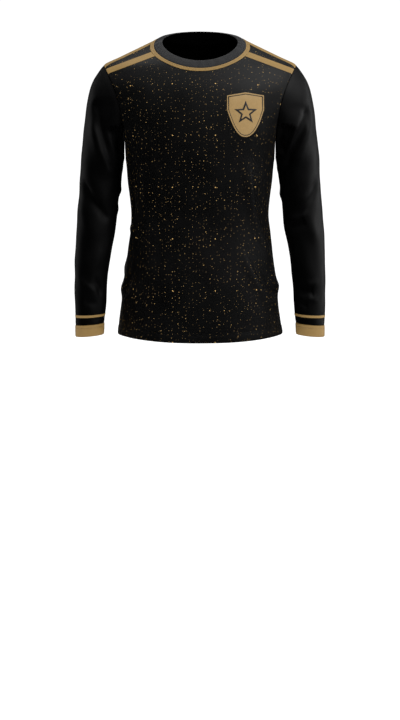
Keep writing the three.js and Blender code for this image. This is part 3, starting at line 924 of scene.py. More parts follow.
class ShaderKit:
    """Makes one material's nodes."""

    def __init__(self, name: str) -> None:
        """Starts a material with a shader of its own.

        Args:
            name: The material's name.
        """
        self.material = bpy.data.materials.new(name)
        self.material.use_nodes = True
        self.tree = self.material.node_tree
        self.tree.nodes.clear()
        self.shader = self.tree.nodes.new("ShaderNodeBsdfPrincipled")
        output = self.tree.nodes.new("ShaderNodeOutputMaterial")
        self.tree.links.new(self.shader.outputs[0], output.inputs[0])

    def node(
        self, kind: str, settings: Optional[dict] = None, *values: Value, out: int = 0, **named: Value
    ) -> Wire:
        """Adds a node and returns one of its outputs.

        Args:
            kind: The node's type.
            settings: Attributes that are set first.
            *values: Numbers or wires for its inputs in order.
            out: Which output to return.
            **named: Numbers or wires for inputs by name, with _ for a space.

        Returns:
            The chosen output.
        """
        made = self.tree.nodes.new(kind)
        for key, value in (settings or {}).items():
            setattr(made, key, value)
        for number, value in enumerate(values):
            self._feed(made.inputs[number], value)
        for key, value in named.items():
            self._feed(made.inputs[key.replace("_", " ") if key not in made.inputs else key], value)
        return Wire(self, made.outputs[out])

    def _feed(self, socket: bpy.types.NodeSocket, value: Value) -> None:
        """Links a wire to a socket, or sets its number."""
        if isinstance(value, Wire):
            self.tree.links.new(value.socket, socket)
        elif isinstance(value, (tuple, list)) and len(value) == 3 and socket.type == "RGBA":
            socket.default_value = (*value, 1)
        else:
            socket.default_value = value

    def mix(self, share: Value, first: Sequence[float], second: Sequence[float]) -> Wire:
        """A colour between two colours, each a wire or three numbers."""
        made = self.tree.nodes.new("ShaderNodeMix")
        made.data_type = "RGBA"
        self._feed(made.inputs[0], share)
        self._feed(made.inputs[6], first)
        self._feed(made.inputs[7], second)
        return Wire(self, made.outputs[2])

    def cloth_place(self) -> tuple[Wire, Wire, Wire]:
        """The cloth's own place in metres: the vector, its across and its along."""
        uv = self.node("ShaderNodeUVMap", {"uv_map": "cloth"})
        across = self.node("ShaderNodeSeparateXYZ", None, uv)
        return uv, across, Wire(self, across.socket.node.outputs[1])

    def noise(self, vector: Wire, scale: float, detail: float, rough: float) -> Wire:
        """A noise value at a vector."""
        values = {"Vector": vector, "Scale": scale, "Detail": detail, "Roughness": rough}
        return self.node("ShaderNodeTexNoise", None, **values)

    def bump(self, height: Wire, strength: float, distance: float, under: Optional[Wire] = None) -> Wire:
        """A normal bent by a height, on top of another bump where one is given."""
        values = {"Height": height, "Strength": strength, "Distance": distance}
        if under is not None:
            values["Normal"] = under
        return self.node("ShaderNodeBump", None, **values)

    def set(self, **values: Value) -> None:
        """Sets or links the shader's own inputs, with _ for a space."""
        for key, value in values.items():
            self._feed(self.shader.inputs[key.replace("_", " ")], value)


# ---------------------------------------------------------------- finishes


@dataclass(frozen=True)
class Jersey:
    """Fine polyester jersey, plain or printed with small flecks."""

    name: str
    colour: tuple[float, float, float]
    lighter: tuple[float, float, float]
    roughness: float = 0.56
    shine: float = 0.35
    sheen: float = 0.02
    sheen_tint: tuple[float, float, float] = (0.8, 0.8, 0.82)
    flecks: bool = False
    fleck_colour: tuple[float, float, float] = (0.60, 0.37, 0.115)
    tile: tuple[float, float] = (0.098, 0.119)

    def _flecks(self, kit: ShaderKit) -> Wire:
        """How strongly each point is covered by a fleck: strewn ones, and a large one in each tile."""
        uv = kit.node("ShaderNodeUVMap", {"uv_map": "cloth"})
        offset = kit.node("ShaderNodeVectorMath", {"operation": "ADD"}, uv, (0.014, 0.0572, 0))
        tile = kit.node("ShaderNodeVectorMath", {"operation": "WRAP"}, offset, (*self.tile, 1), (0, 0, -1))
        total: Optional[Wire] = None
        for cell, size, share, strength in ((0.0080, 0.00074, 0.54, 0.42), (0.0150, 0.00084, 0.46, 0.9)):
            settings = {"voronoi_dimensions": "2D"}
            dots = kit.node("ShaderNodeTexVoronoi", settings, Vector=offset, Scale=1 / cell, Randomness=0.9)
            lot = kit.node("ShaderNodeSeparateColor", None, Wire(kit, dots.socket.node.outputs["Color"]))
            other = Wire(kit, lot.socket.node.outputs[1])
            reach = (other * 0.55 + 0.45) * (size / cell)
            dot = (dots / reach).within(1.15, 0.75) * (lot > share) * (other * 0.6 + 0.4) * strength
            total = dot if total is None else total.largest(dot)
        centre = kit.node("ShaderNodeVectorMath", {"operation": "DISTANCE"}, tile, (0.049, 0.0595, 0), out=1)
        return total.largest(centre.within(0.0014, 0.0009))

    def material(self) -> bpy.types.Material:
        """The material: knit loops, a slight unevenness of the dye, and the flecks."""
        kit = ShaderKit(self.name)
        place, across, along = kit.cloth_place()
        cloudy = kit.noise(place, 14, 3, 0.55)
        shade = kit.mix(cloudy.within(0.35, 0.7), self.colour, self.lighter)
        rough = cloudy * 0.08 + (self.roughness - 0.04)
        if self.flecks:
            cover = self._flecks(kit)
            shade = kit.mix(cover, shade, self.fleck_colour)
            rough = rough - cover * 0.12
        wales = (across * (2 * math.pi / 0.0009)).sine()
        courses = (along * (2 * math.pi / 0.0011)).sine()
        fuzz = kit.noise(place, 900, 2, 0.6)
        normal = kit.bump(wales * courses * 0.5 + fuzz * 0.5, 0.35, 0.00012)
        kit.set(
            Base_Color=shade,
            Roughness=rough,
            Normal=normal,
            Sheen_Weight=self.sheen,
            Sheen_Roughness=0.45,
            Sheen_Tint=(*self.sheen_tint, 1),
            Specular_IOR_Level=self.shine,
        )
        return kit.material


@dataclass(frozen=True)
class RibKnit:
    """Rib knit, whose ribs run across the collar."""

    name: str
    colour: tuple[float, float, float]
    groove_shade: tuple[float, float, float]
    pitch: float = 0.0026
    sheen: float = 0.08
    shine: float = 0.3

    def material(self) -> bpy.types.Material:
        """The material: ribs, knit loops along each, and painted shade where the colour darkens into the
        grooves between the ribs, mixed with a random unevenness.
        """
        kit = ShaderKit(self.name)
        place, across, along = kit.cloth_place()
        wave = (across * (2 * math.pi / self.pitch)).sine() * 0.5 + 0.5
        loops = (along * (2 * math.pi / 0.0011)).sine() * 0.5 + 0.5
        cloudy = kit.noise(place, 60, 3, 0.6)
        # Painted shade: the colour darkens into the grooves between the ribs, with the same wave as the
        # bump, mixed with a random unevenness.
        shade = kit.mix(wave * 0.7 + cloudy * 0.3, self.groove_shade, self.colour)
        lower = kit.bump(wave, 0.8, 0.0006)
        normal = kit.bump(loops * wave, 0.4, 0.00015, lower)
        kit.set(
            Base_Color=shade,
            Roughness=cloudy * 0.1 + 0.68,
            Normal=normal,
            Sheen_Weight=self.sheen,
            Sheen_Roughness=0.4,
            Sheen_Tint=(0.85, 0.85, 0.88, 1),
            Specular_IOR_Level=self.shine,
        )
        return kit.material


@dataclass(frozen=True)
class Thread:
    """Twisted sewing or embroidery thread."""

    name: str
    colour: tuple[float, float, float]
    twist_shade: tuple[float, float, float]
    pitch: float = 0.0007
    slant: float = 0.5
    shine: float = 0.4
    sheen: float = 0.15

    def material(self) -> bpy.types.Material:
        """The material: a slanting twist in height, and painted shade where the colour darkens into the
        twist's grooves, mixed with a random unevenness.
        """
        kit = ShaderKit(self.name)
        place, across, along = kit.cloth_place()
        twist = ((across + along * self.slant) * (2 * math.pi / self.pitch)).sine() * 0.5 + 0.5
        cloudy = kit.noise(place, 120, 2, 0.5)
        # Painted shade: the colour darkens into the grooves of the twist, with the same wave as the bump,
        # mixed with a random unevenness.
        shade = kit.mix(twist * 0.6 + cloudy * 0.4, self.twist_shade, self.colour)
        kit.set(
            Base_Color=shade,
            Roughness=cloudy * 0.1 + 0.4,
            Normal=kit.bump(twist, 0.5, 0.0001),
            Specular_IOR_Level=self.shine,
            Sheen_Weight=self.sheen,
            Sheen_Tint=(1, 0.95, 0.85, 1),
        )
        return kit.material


@dataclass(frozen=True)
class PlainPaper:
    """The studio's seamless floor."""

    name: str
    colour: tuple[float, float, float]
    glow: float = 0.0

    def material(self) -> bpy.types.Material:
        """The material: matt, with a faint unevenness."""
        kit = ShaderKit(self.name)
        place = kit.node("ShaderNodeTexCoord", None, out=3)
        cloudy = kit.noise(place, 1.5, 2, 0.5)
        kit.set(
            Base_Color=kit.mix(cloudy, self.colour, tuple(c * 0.985 for c in self.colour)),
            Roughness=0.9,
            Emission_Color=(1, 1, 1, 1),
            Emission_Strength=self.glow,
        )
        return kit.material


FLECKED = Jersey(
    "flecked_black_jersey", (0.0009, 0.0009, 0.0010), (0.0015, 0.0015, 0.0017), shine=0.33, flecks=True
)
BLACK = Jersey(
    "plain_black_jersey", (0.0003, 0.0003, 0.0005), (0.0007, 0.0007, 0.0010), shine=0.24, sheen=0.005
)
# A darker, duller copy of the black jersey for the inner faces and the turned hem: painted shade inside the
# garment.
INSIDE = Jersey(
    "black_jersey_inside", (0.0002, 0.0002, 0.0002), (0.0003, 0.0003, 0.0003), shine=0.04, sheen=0.0
)
GOLD = Jersey(
    "gold_jersey", (0.215, 0.132, 0.040), (0.245, 0.152, 0.048), shine=0.25, sheen_tint=(1, 0.93, 0.8)
)
COLLAR_RIB = RibKnit("dark_rib_knit", (0.026, 0.026, 0.027), (0.012, 0.012, 0.0125))
# A far darker copy of the rib knit, with no sheen, for the collar's inner faces and the neck tape: painted
# shade inside the collar.
RIB_INSIDE = RibKnit(
    "dark_rib_inside", (0.0012, 0.0012, 0.0013), (0.0006, 0.0006, 0.0007), sheen=0.0, shine=0.04
)
GOLD_THREAD = Thread("gold_thread", (0.30, 0.195, 0.075), (0.17, 0.10, 0.032))
BLACK_THREAD = Thread(
    "black_thread", (0.002, 0.002, 0.0022), (0.0008, 0.0008, 0.0008), shine=0.2, sheen=0.02
)
SATIN_STITCH = Thread(
    "gold_satin_stitch", (0.32, 0.205, 0.075), (0.22, 0.135, 0.045), pitch=0.0006, slant=0.08
)
BLACK_STITCH = Thread(
    "black_satin_stitch", (0.018, 0.018, 0.02), (0.006, 0.006, 0.007), pitch=0.0006, slant=0.08
)
BLACK_SATIN = Thread(
    "black_label_satin",
    (0.0006, 0.0006, 0.0007),
    (0.0003, 0.0003, 0.0003),
    pitch=0.0005,
    slant=0.9,
    shine=0.06,
    sheen=0.0,
)

Finish = Union[Jersey, RibKnit, Thread, PlainPaper]


class Wardrobe:
    """Keeps each finish's material, made once."""

    def __init__(self) -> None:
        """Starts with no material made."""
        self.made: dict[str, bpy.types.Material] = {}

    def dress(self, piece: bpy.types.Object, *finishes: Finish) -> None:
        """Gives a piece its finish, and one for its lining where there are two."""
        for finish in finishes:
            if finish.name not in self.made:
                self.made[finish.name] = finish.material()
            piece.data.materials.append(self.made[finish.name])


# ---------------------------------------------------------------- sub-assemblies


@dataclass
class Bench:
    """What every sub-assembly shares: the forms and the finishes."""

    torso: Torso
    sleeves: dict[Side, Sleeve]
    wardrobe: Wardrobe = field(default_factory=Wardrobe)

    def place(
        self,
        data: MeshData,
        name: str,
        finish: Finish,
        slot: Slot,
        body: Optional[Body] = Body.TORSO,
        stands_for: Sequence[str] = (),
        lining: Optional[Finish] = None,
    ) -> bpy.types.Object:
        """Makes a piece, dresses it and puts it on its body.

        Args:
            data: The piece's mesh.
            name: Its name.
            finish: Its finish.
            slot: The material slot of its finish; not used.
            body: The body it rides on, or None to leave it on no body.
            stands_for: The CAD nodes that it replaces.
            lining: The finish of its inner faces, where it differs.

        Returns:
            The piece.
        """
        if lining is None:
            data.lining = None
        piece = data.build(name)
        self.wardrobe.dress(piece, finish, *([lining] if lining else []))
        if body is not None:
            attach(piece, body.value)
        if stands_for:
            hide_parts(*stands_for)
        log.info("%s: %d faces", name, len(data.faces))
        return piece


@dataclass
class BodyPanels:
    """The front and back panels, with the hem turned up inside and stitched."""

    bench: Bench
    columns: int = 112
    thickness: float = 0.9 * MM
    neck_start: float = -0.007
    shoulder_rows: int = 56
    chest_rows: int = 48
    lower_rows: int = 104
    fold_height: float = 0.024
    stitch_rows: tuple[float, float] = (0.0192, 0.0228)

    def rows(self) -> Points:
        """The grid's drops, closer over the shoulders, where the cloth runs nearly level."""
        torso = self.bench.torso
        return np.concatenate(
            [
                np.linspace(self.neck_start, torso.shoulder_drop, self.shoulder_rows)[:-1],
                np.linspace(torso.shoulder_drop, torso.underarm, self.chest_rows)[:-1],
                np.linspace(torso.underarm, torso.length, self.lower_rows),
            ]
        )

    def panel(self, start: float) -> Patch:
        """One panel, from the side seam at the start angle to the other."""
        torso = self.bench.torso
        return Patch(
            surface=torso.at,
            uv_surface=torso.plain,
            across=start + np.linspace(0.0008, math.pi - 0.0008, self.columns + 1),
            down=self.rows(),
            inner=-self.thickness,
            outer=0.0,
            cuts=(torso.outside_neck(0), torso.clear_of_armhole(0.0003), torso.above_hem),
        )

    def hem_at(self, phi: Points, below: Points) -> Points:
        """The draped cloth at a distance below the hem line, negative above it."""
        torso = self.bench.torso
        return torso.at(phi, torso.hem_drop(phi) + below)

    def build(self) -> None:
        """Makes the panels, the hem folds and their stitching."""
        panels = (("front", -SIDE_SEAM, 0.56, 0.335), ("back", SIDE_SEAM, 0.55, 0.340))
        for word, start, width, area in panels:
            # The panels' inner faces and the turned hem take the darker jersey copy, which paints the shade
            # inside the garment.
            cloth = self.bench.place(
                self.panel(start).data(),
                f"{word}_panel_cloth",
                FLECKED,
                Slot.FLECKED,
                stands_for=(f"{word}_body_panel",),
                lining=INSIDE,
            )
            run = start + np.linspace(0.004, math.pi - 0.004, 181)
            fold = Patch(self.hem_at, run, np.linspace(-self.fold_height, -0.0008, 7), *TURNED_HEM_LAYER)
            turned = self.bench.place(
                fold.data(), f"{word}_hem_turning", INSIDE, Slot.FLECKED, stands_for=(f"{word}_hem_fold",)
            )
            path = start + np.linspace(0.01, math.pi - 0.01, 700)
            rows = [
                stitches(*row_on(self.hem_at, path, -height, False, 0.15 * MM), *HEM_STITCH)
                for height in self.stitch_rows
            ]
            sewn = self.bench.place(
                joined(rows),
                f"{word}_hem_coverstitch",
                BLACK_THREAD,
                Slot.DARK_THREAD,
                stands_for=(f"{word}_hem_topstitch",),
            )


@dataclass
class SleevePieces:
    """One sleeve: its cloth in two lengths that meet on the upper arm, its stripe and its cuff."""

    bench: Bench
    side: Side
    columns: int = 108
    thickness: float = 0.9 * MM
    meeting_ring: float = 4.5
    shoulder_bend: float = 0.039
    elbow_reach: float = 0.064
    elbow: tuple[float, float, float] = (0.2405, 0.003, -0.419)
    cuff_height: float = 0.0265
    stripe: tuple[float, float] = (0.0462, 0.0520)

    @property
    def form(self) -> Sleeve:
        """This side's sleeve form."""
        return self.bench.sleeves[self.side]

    @property
    def flip(self) -> bool:
        """True on the side whose turn runs clockwise."""
        return self.side is Side.LEFT

    def _tube(self, start: float, end: float, rows: int) -> Patch:
        """The sleeve's cloth between two rings."""
        return Patch(
            surface=self.form.at,
            uv_surface=self.form.plain,
            across=np.linspace(math.pi, 3 * math.pi, self.columns + 1),
            down=np.linspace(start, end, rows),
            inner=-self.thickness,
            outer=0.0,
            flip=self.flip,
            wraps=True,
            steps=SLEEVE_STEPS,
        )

    def _round(self, section: Sequence[tuple[float, float]]) -> Band:
        """A band round the sleeve, from heights above the cuff's end and offsets in millimetres."""
        rings = [(self.form.ring_up(height * MM), offset * MM) for height, offset in section]
        return Band(
            self.form.at, np.linspace(math.pi, 3 * math.pi, 145), rings, flip=self.flip, steps=SLEEVE_STEPS
        )

    def build(self) -> None:
        """Makes the cloth in two lengths, the cuff's pieces and the armhole tape."""
        side, word = self.side, self.side.word
        bench, sign = self.bench, self.side.value
        torso = bench.torso
        # The sleeve cloth's inner faces take the darker jersey copy, which paints the shade inside the
        # sleeve.
        top = bench.place(
            self._tube(0.012, self.meeting_ring, 76).data(),
            f"{word}_sleeve_top_cloth",
            BLACK,
            Slot.PLAIN,
            body=None,
            stands_for=(f"{word}_sleeve_head", f"{word}_sleeve_upper"),
            lining=INSIDE,
        )
        shoulder = Vector((sign * torso.shoulder_half, 0, -torso.shoulder_drop))
        underarm = Vector((sign * torso.chest_half, 0, -torso.underarm))
        away = (shoulder - underarm).cross(Vector((0, 1, 0))).normalized()
        away = away if away.x * sign > 0 else -away
        shoulder + away * 0.001
        shoulder + away * self.shoulder_bend
        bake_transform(top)
        arm = bench.place(
            self._tube(self.meeting_ring, Sleeve.CUFF - 0.01, 96).data(),
            f"{word}_sleeve_arm_cloth",
            BLACK,
            Slot.PLAIN,
            body=None,
            stands_for=(f"{word}_sleeve_elbow", f"{word}_sleeve_lower"),
            lining=INSIDE,
        )
        bend = Vector((sign * self.elbow[0], self.elbow[1], self.elbow[2]))
        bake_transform(arm)
        self._cuff()
        tape = Patch(
            self.form.at,
            np.linspace(0, 2 * math.pi, 109),
            np.linspace(0.08, 0.3, 4),
            *TAPE_LAYER,
            flip=self.flip,
            wraps=True,
            steps=SLEEVE_STEPS,
        )
        bench.place(
            tape.data(), f"{word}_armhole_tape", BLACK, Slot.PLAIN, stands_for=(f"{word}_armhole_seam_tape",)
        )

    def _cuff(self) -> None:
        word, body = self.side.word, self.side.lower
        low, high = (height / MM for height in self.stripe)
        edge = [(high, 0.02), (high - 0.2, 0.42), (high - 1, 0.5)]
        edge += [(low + 1, 0.5), (low + 0.2, 0.42), (low, 0.02)]
        stripe = self.bench.place(
            self._round(edge).data(), f"{word}_wrist_stripe", GOLD, Slot.GOLD, body, (f"{word}_cuff_stripe",)
        )
        top = self.cuff_height / MM
        outside = [(top, -0.3), (top - 0.2, 0.5), (top - 1.5, 0.85), (top - 4.5, 0.75), (top - 6, 0.35)]
        middle = [(top - 7.5, 0.8), (14, 0.95), (8, 0.95), (3, 0.9), (1.2, 0.6), (0.2, -0.2)]
        inside = [(1.0, -1.1), (3, -1.5), (10, -1.6), (18, -1.6), (top - 1.2, -1.5), (top, -1.1)]
        cuff = self.bench.place(
            self._round(outside + middle + inside).data(),
            f"{word}_cuff_cloth",
            GOLD,
            Slot.GOLD,
            body,
            (f"{word}_cuff_band",),
        )
        turns = np.linspace(0, 2 * math.pi, 400)
        rows = []
        for height in (top - 6.8, top - 5.2):
            ring = self.form.ring_up(height * MM)
            path, normal = row_on(self.form.at, turns, ring, self.flip, 0.62 * MM)
            rows.append(stitches(path, normal, *GOLD_STITCH))
        sewn = self.bench.place(
            joined(rows),
            f"{word}_cuff_stitches",
            GOLD_THREAD,
            Slot.THREAD,
            body,
            (f"{word}_cuff_topstitch",),
        )


@dataclass
class Neck:
    """The rib collar, the gold binding over its seam, the stitching and the tape inside."""

    bench: Bench
    rib_width: float = 0.020
    ribs: int = 232
    binding: float = 0.010

    def collar_at(self, alpha: Points, rise: Points) -> Points:
        """The rib's middle layer at an angle round the neck and a share of its width up."""
        torso = self.bench.torso
        forward, across = np.cos(alpha), np.sin(alpha)
        seam = torso.neckline(alpha, np.full(np.shape(alpha), -0.0006))
        reach = np.where(forward > 0, torso.neck_front, torso.neck_back)
        top = np.stack(
            [
                (torso.neck_half - 0.95 * self.rib_width) * across,
                -(reach - 0.6 * self.rib_width) * forward - torso.neck_forward,
                (-14.5 - 33.5 * forward + 6.5 * (1 - forward**2) - 2 * forward**2) * MM,
            ],
            -1,
        )
        rise = np.asarray(rise, float)[..., None]
        point = seam + (top - seam) * rise
        bow = (1.5 - 0.2 * forward[..., None]) * MM * np.sin(math.pi * np.clip(rise, 0, 1))
        return point + np.concatenate([np.zeros_like(bow), np.zeros_like(bow), bow], -1)

    def build(self) -> None:
        """Makes the neck's pieces."""
        bench, torso = self.bench, self.bench.torso
        outside = [(-0.02, 0.3), (0.02, 1.0), (0.2, 1.2), (0.45, 1.25), (0.7, 1.25), (0.88, 1.3)]
        fold = [(0.96, 1.15), (1.005, 0.65), (1.02, 0.0), (1.005, -0.65), (0.96, -1.1)]
        inside = [(0.85, -1.2), (0.5, -1.15), (0.1, -1.2), (-0.07, -1.45), (-0.075, -1.1), (-0.01, -0.95)]
        section = [(rise, offset * MM) for rise, offset in outside + fold + inside]
        rib = Band(
            self.collar_at,
            np.linspace(math.pi, 3 * math.pi, self.ribs * 6 + 1),
            section,
            flip=True,
            relief=lambda alpha, offset: np.sign(offset) * 0.16 * MM * np.cos(alpha * self.ribs),
            lined_below=-0.0006,
        )
        # The rib's inner faces take the far darker rib copy, which paints the shade inside the collar.
        bench.place(
            rib.data(),
            "rib_collar",
            COLLAR_RIB,
            Slot.RIB,
            stands_for=("collar_rib",),
            lining=RIB_INSIDE,
        )
        width = self.binding / MM
        puff = [(0.0, 0.05), (0.3, 0.75), (1.6, 1.0), (3.4, 0.85), (width / 2, 0.5), (width - 3.4, 0.85)]
        puff += [(width - 1.6, 1.0), (width - 0.3, 0.75), (width, 0.05), (width / 2, -0.2)]
        around = np.linspace(math.pi, 3 * math.pi, 289)
        binding = Band(torso.neckline, around, [(out * MM, offset * MM) for out, offset in puff])
        bench.place(binding.data(), "gold_neck_binding", GOLD, Slot.GOLD, stands_for=("collar_binding",))
        alpha = np.linspace(0, 2 * math.pi, 900)
        rows = []
        for out in (0.0036, 0.0064):
            path, normal = row_on(torso.neckline, alpha, out, False, 0.85 * MM)
            rows.append(stitches(path, normal, *GOLD_STITCH))
        sewn = joined(rows)
        bench.place(sewn, "neck_stitches", GOLD_THREAD, Slot.THREAD, stands_for=("collar_topstitch",))
        # The tape takes the far darker rib copy too, which paints the shade inside the back neck.
        tape = Patch(
            torso.neckline,
            np.radians(np.linspace(118, 242, 61)),
            np.linspace(0.001, 0.013, 5),
            *TAPE_LAYER,
        )
        bench.place(tape.data(), "neck_tape", RIB_INSIDE, Slot.RIB, stands_for=("back_neck_tape",))


@dataclass
class Shoulders:
    """The gold stripes over the shoulders, and the seam allowances under them and down the sides."""

    bench: Bench
    ridge_front: float = 0.0235
    ridge_back: float = 0.018
    front_width: float = 0.0125
    front_drop: float = 0.031
    front_lift: float = 0.013
    allowance: float = 0.014
    offsets: tuple[float, float] = (0.05 * MM, 0.45 * MM)

    def _stripe(self, side: Side, start: float, end: float, low: float, cuts: Sequence[CutFn]) -> MeshData:
        """A stripe over one shoulder, cut from the torso form."""
        torso = self.bench.torso
        angles = np.linspace(start, end, 64)
        angles = angles if side is Side.LEFT else -angles[::-1]
        common = (torso.outside_neck(0.0102), torso.clear_of_armhole(0.0006))
        inner, outer = self.offsets
        rows = np.linspace(-0.005, low, 72)
        return Patch(torso.at, angles, rows, inner, outer, cuts=(*common, *cuts)).data()

    def build(self, side: Side) -> None:
        """Makes one side's stripes and allowances."""
        bench, torso, word = self.bench, self.bench.torso, side.word

        def middle(phi: Points, drop: Points) -> Points:
            """How far below the shoulder line the front stripe's middle looks."""
            x = np.abs(torso.plain(phi, drop)[..., 0])
            share = (x - torso.neck_half) / (torso.shoulder_half - torso.neck_half)
            return self.front_drop - self.front_lift * share

        ridge = self._stripe(
            side,
            0.6,
            2.3,
            torso.shoulder_drop + 0.016,
            (
                lambda phi, drop: self.ridge_front - torso.forward_of_ridge(phi, drop),
                lambda phi, drop: self.ridge_back + torso.forward_of_ridge(phi, drop),
            ),
        )
        node = f"{word}_shoulder_ridge_stripe"
        bench.place(ridge, f"{word}_ridge_stripe", GOLD, Slot.GOLD, stands_for=(node,))
        front = self._stripe(
            side,
            0.3,
            1.5,
            torso.shoulder_drop + 0.03,
            (
                lambda phi, drop: torso.below_shoulder(phi, drop) - middle(phi, drop) + self.front_width / 2,
                lambda phi, drop: middle(phi, drop) + self.front_width / 2 - torso.below_shoulder(phi, drop),
            ),
        )
        node = f"{word}_shoulder_front_stripe"
        bench.place(front, f"{word}_front_stripe", GOLD, Slot.GOLD, stands_for=(node,))
        self._allowances(side)

    def _allowances(self, side: Side) -> None:
        """Makes the seam allowances pressed open inside the shoulder and side seams."""
        bench, torso, word = self.bench, self.bench.torso, side.word

        def near(phi: Points, drop: Points) -> Points:
            """Positive within the allowance of the seam line."""
            return self.allowance / 2 - np.abs(torso.forward_of_ridge(phi, drop))

        def turned(start: float, end: float, count: int) -> Points:
            """The angles on this side."""
            angles = np.linspace(start, end, count)
            return angles if side is Side.LEFT else -angles[::-1]

        shoulder = Patch(
            torso.at,
            turned(1.1, 2.0, 24),
            np.linspace(-0.004, torso.shoulder_drop, 30),
            *ALLOWANCE_LAYER,
            cuts=(torso.outside_neck(0.014), torso.clear_of_armhole(0.0006), near),
        )
        name, node = f"{word}_shoulder_allowance", f"{word}_shoulder_seam_allowance"
        bench.place(shoulder.data(), name, BLACK, Slot.PLAIN, stands_for=(node,))
        flank = Patch(
            torso.at,
            turned(SIDE_SEAM - 0.08, SIDE_SEAM + 0.08, 11),
            np.linspace(torso.underarm + 0.006, torso.length - torso.hem_rise - 0.027, 80),
            *ALLOWANCE_LAYER,
            cuts=(near,),
        )
        name, node = f"{word}_side_allowance", f"{word}_side_seam_allowance"
        bench.place(flank.data(), name, BLACK, Slot.PLAIN, stands_for=(node,))


@dataclass
class Labels:
    """Blank woven labels inside the back neck and the left side seam."""

    bench: Bench

    def build(self) -> None:
        """Makes both labels."""
        torso = self.bench.torso
        for name, start, end, top, bottom, node in (
            ("neck_label", math.pi - 0.19, math.pi + 0.19, 0.024, 0.050, "size_label"),
            ("side_label", SIDE_SEAM + 0.12, SIDE_SEAM + 0.42, 0.548, 0.608, "care_label"),
        ):
            across, down = np.linspace(start, end, 15), np.linspace(top, bottom, 9)
            sewn = Patch(torso.at, across, down, *LABEL_LAYER)
            self.bench.place(sewn.data(), name, BLACK_SATIN, Slot.LABEL, stands_for=(node,))


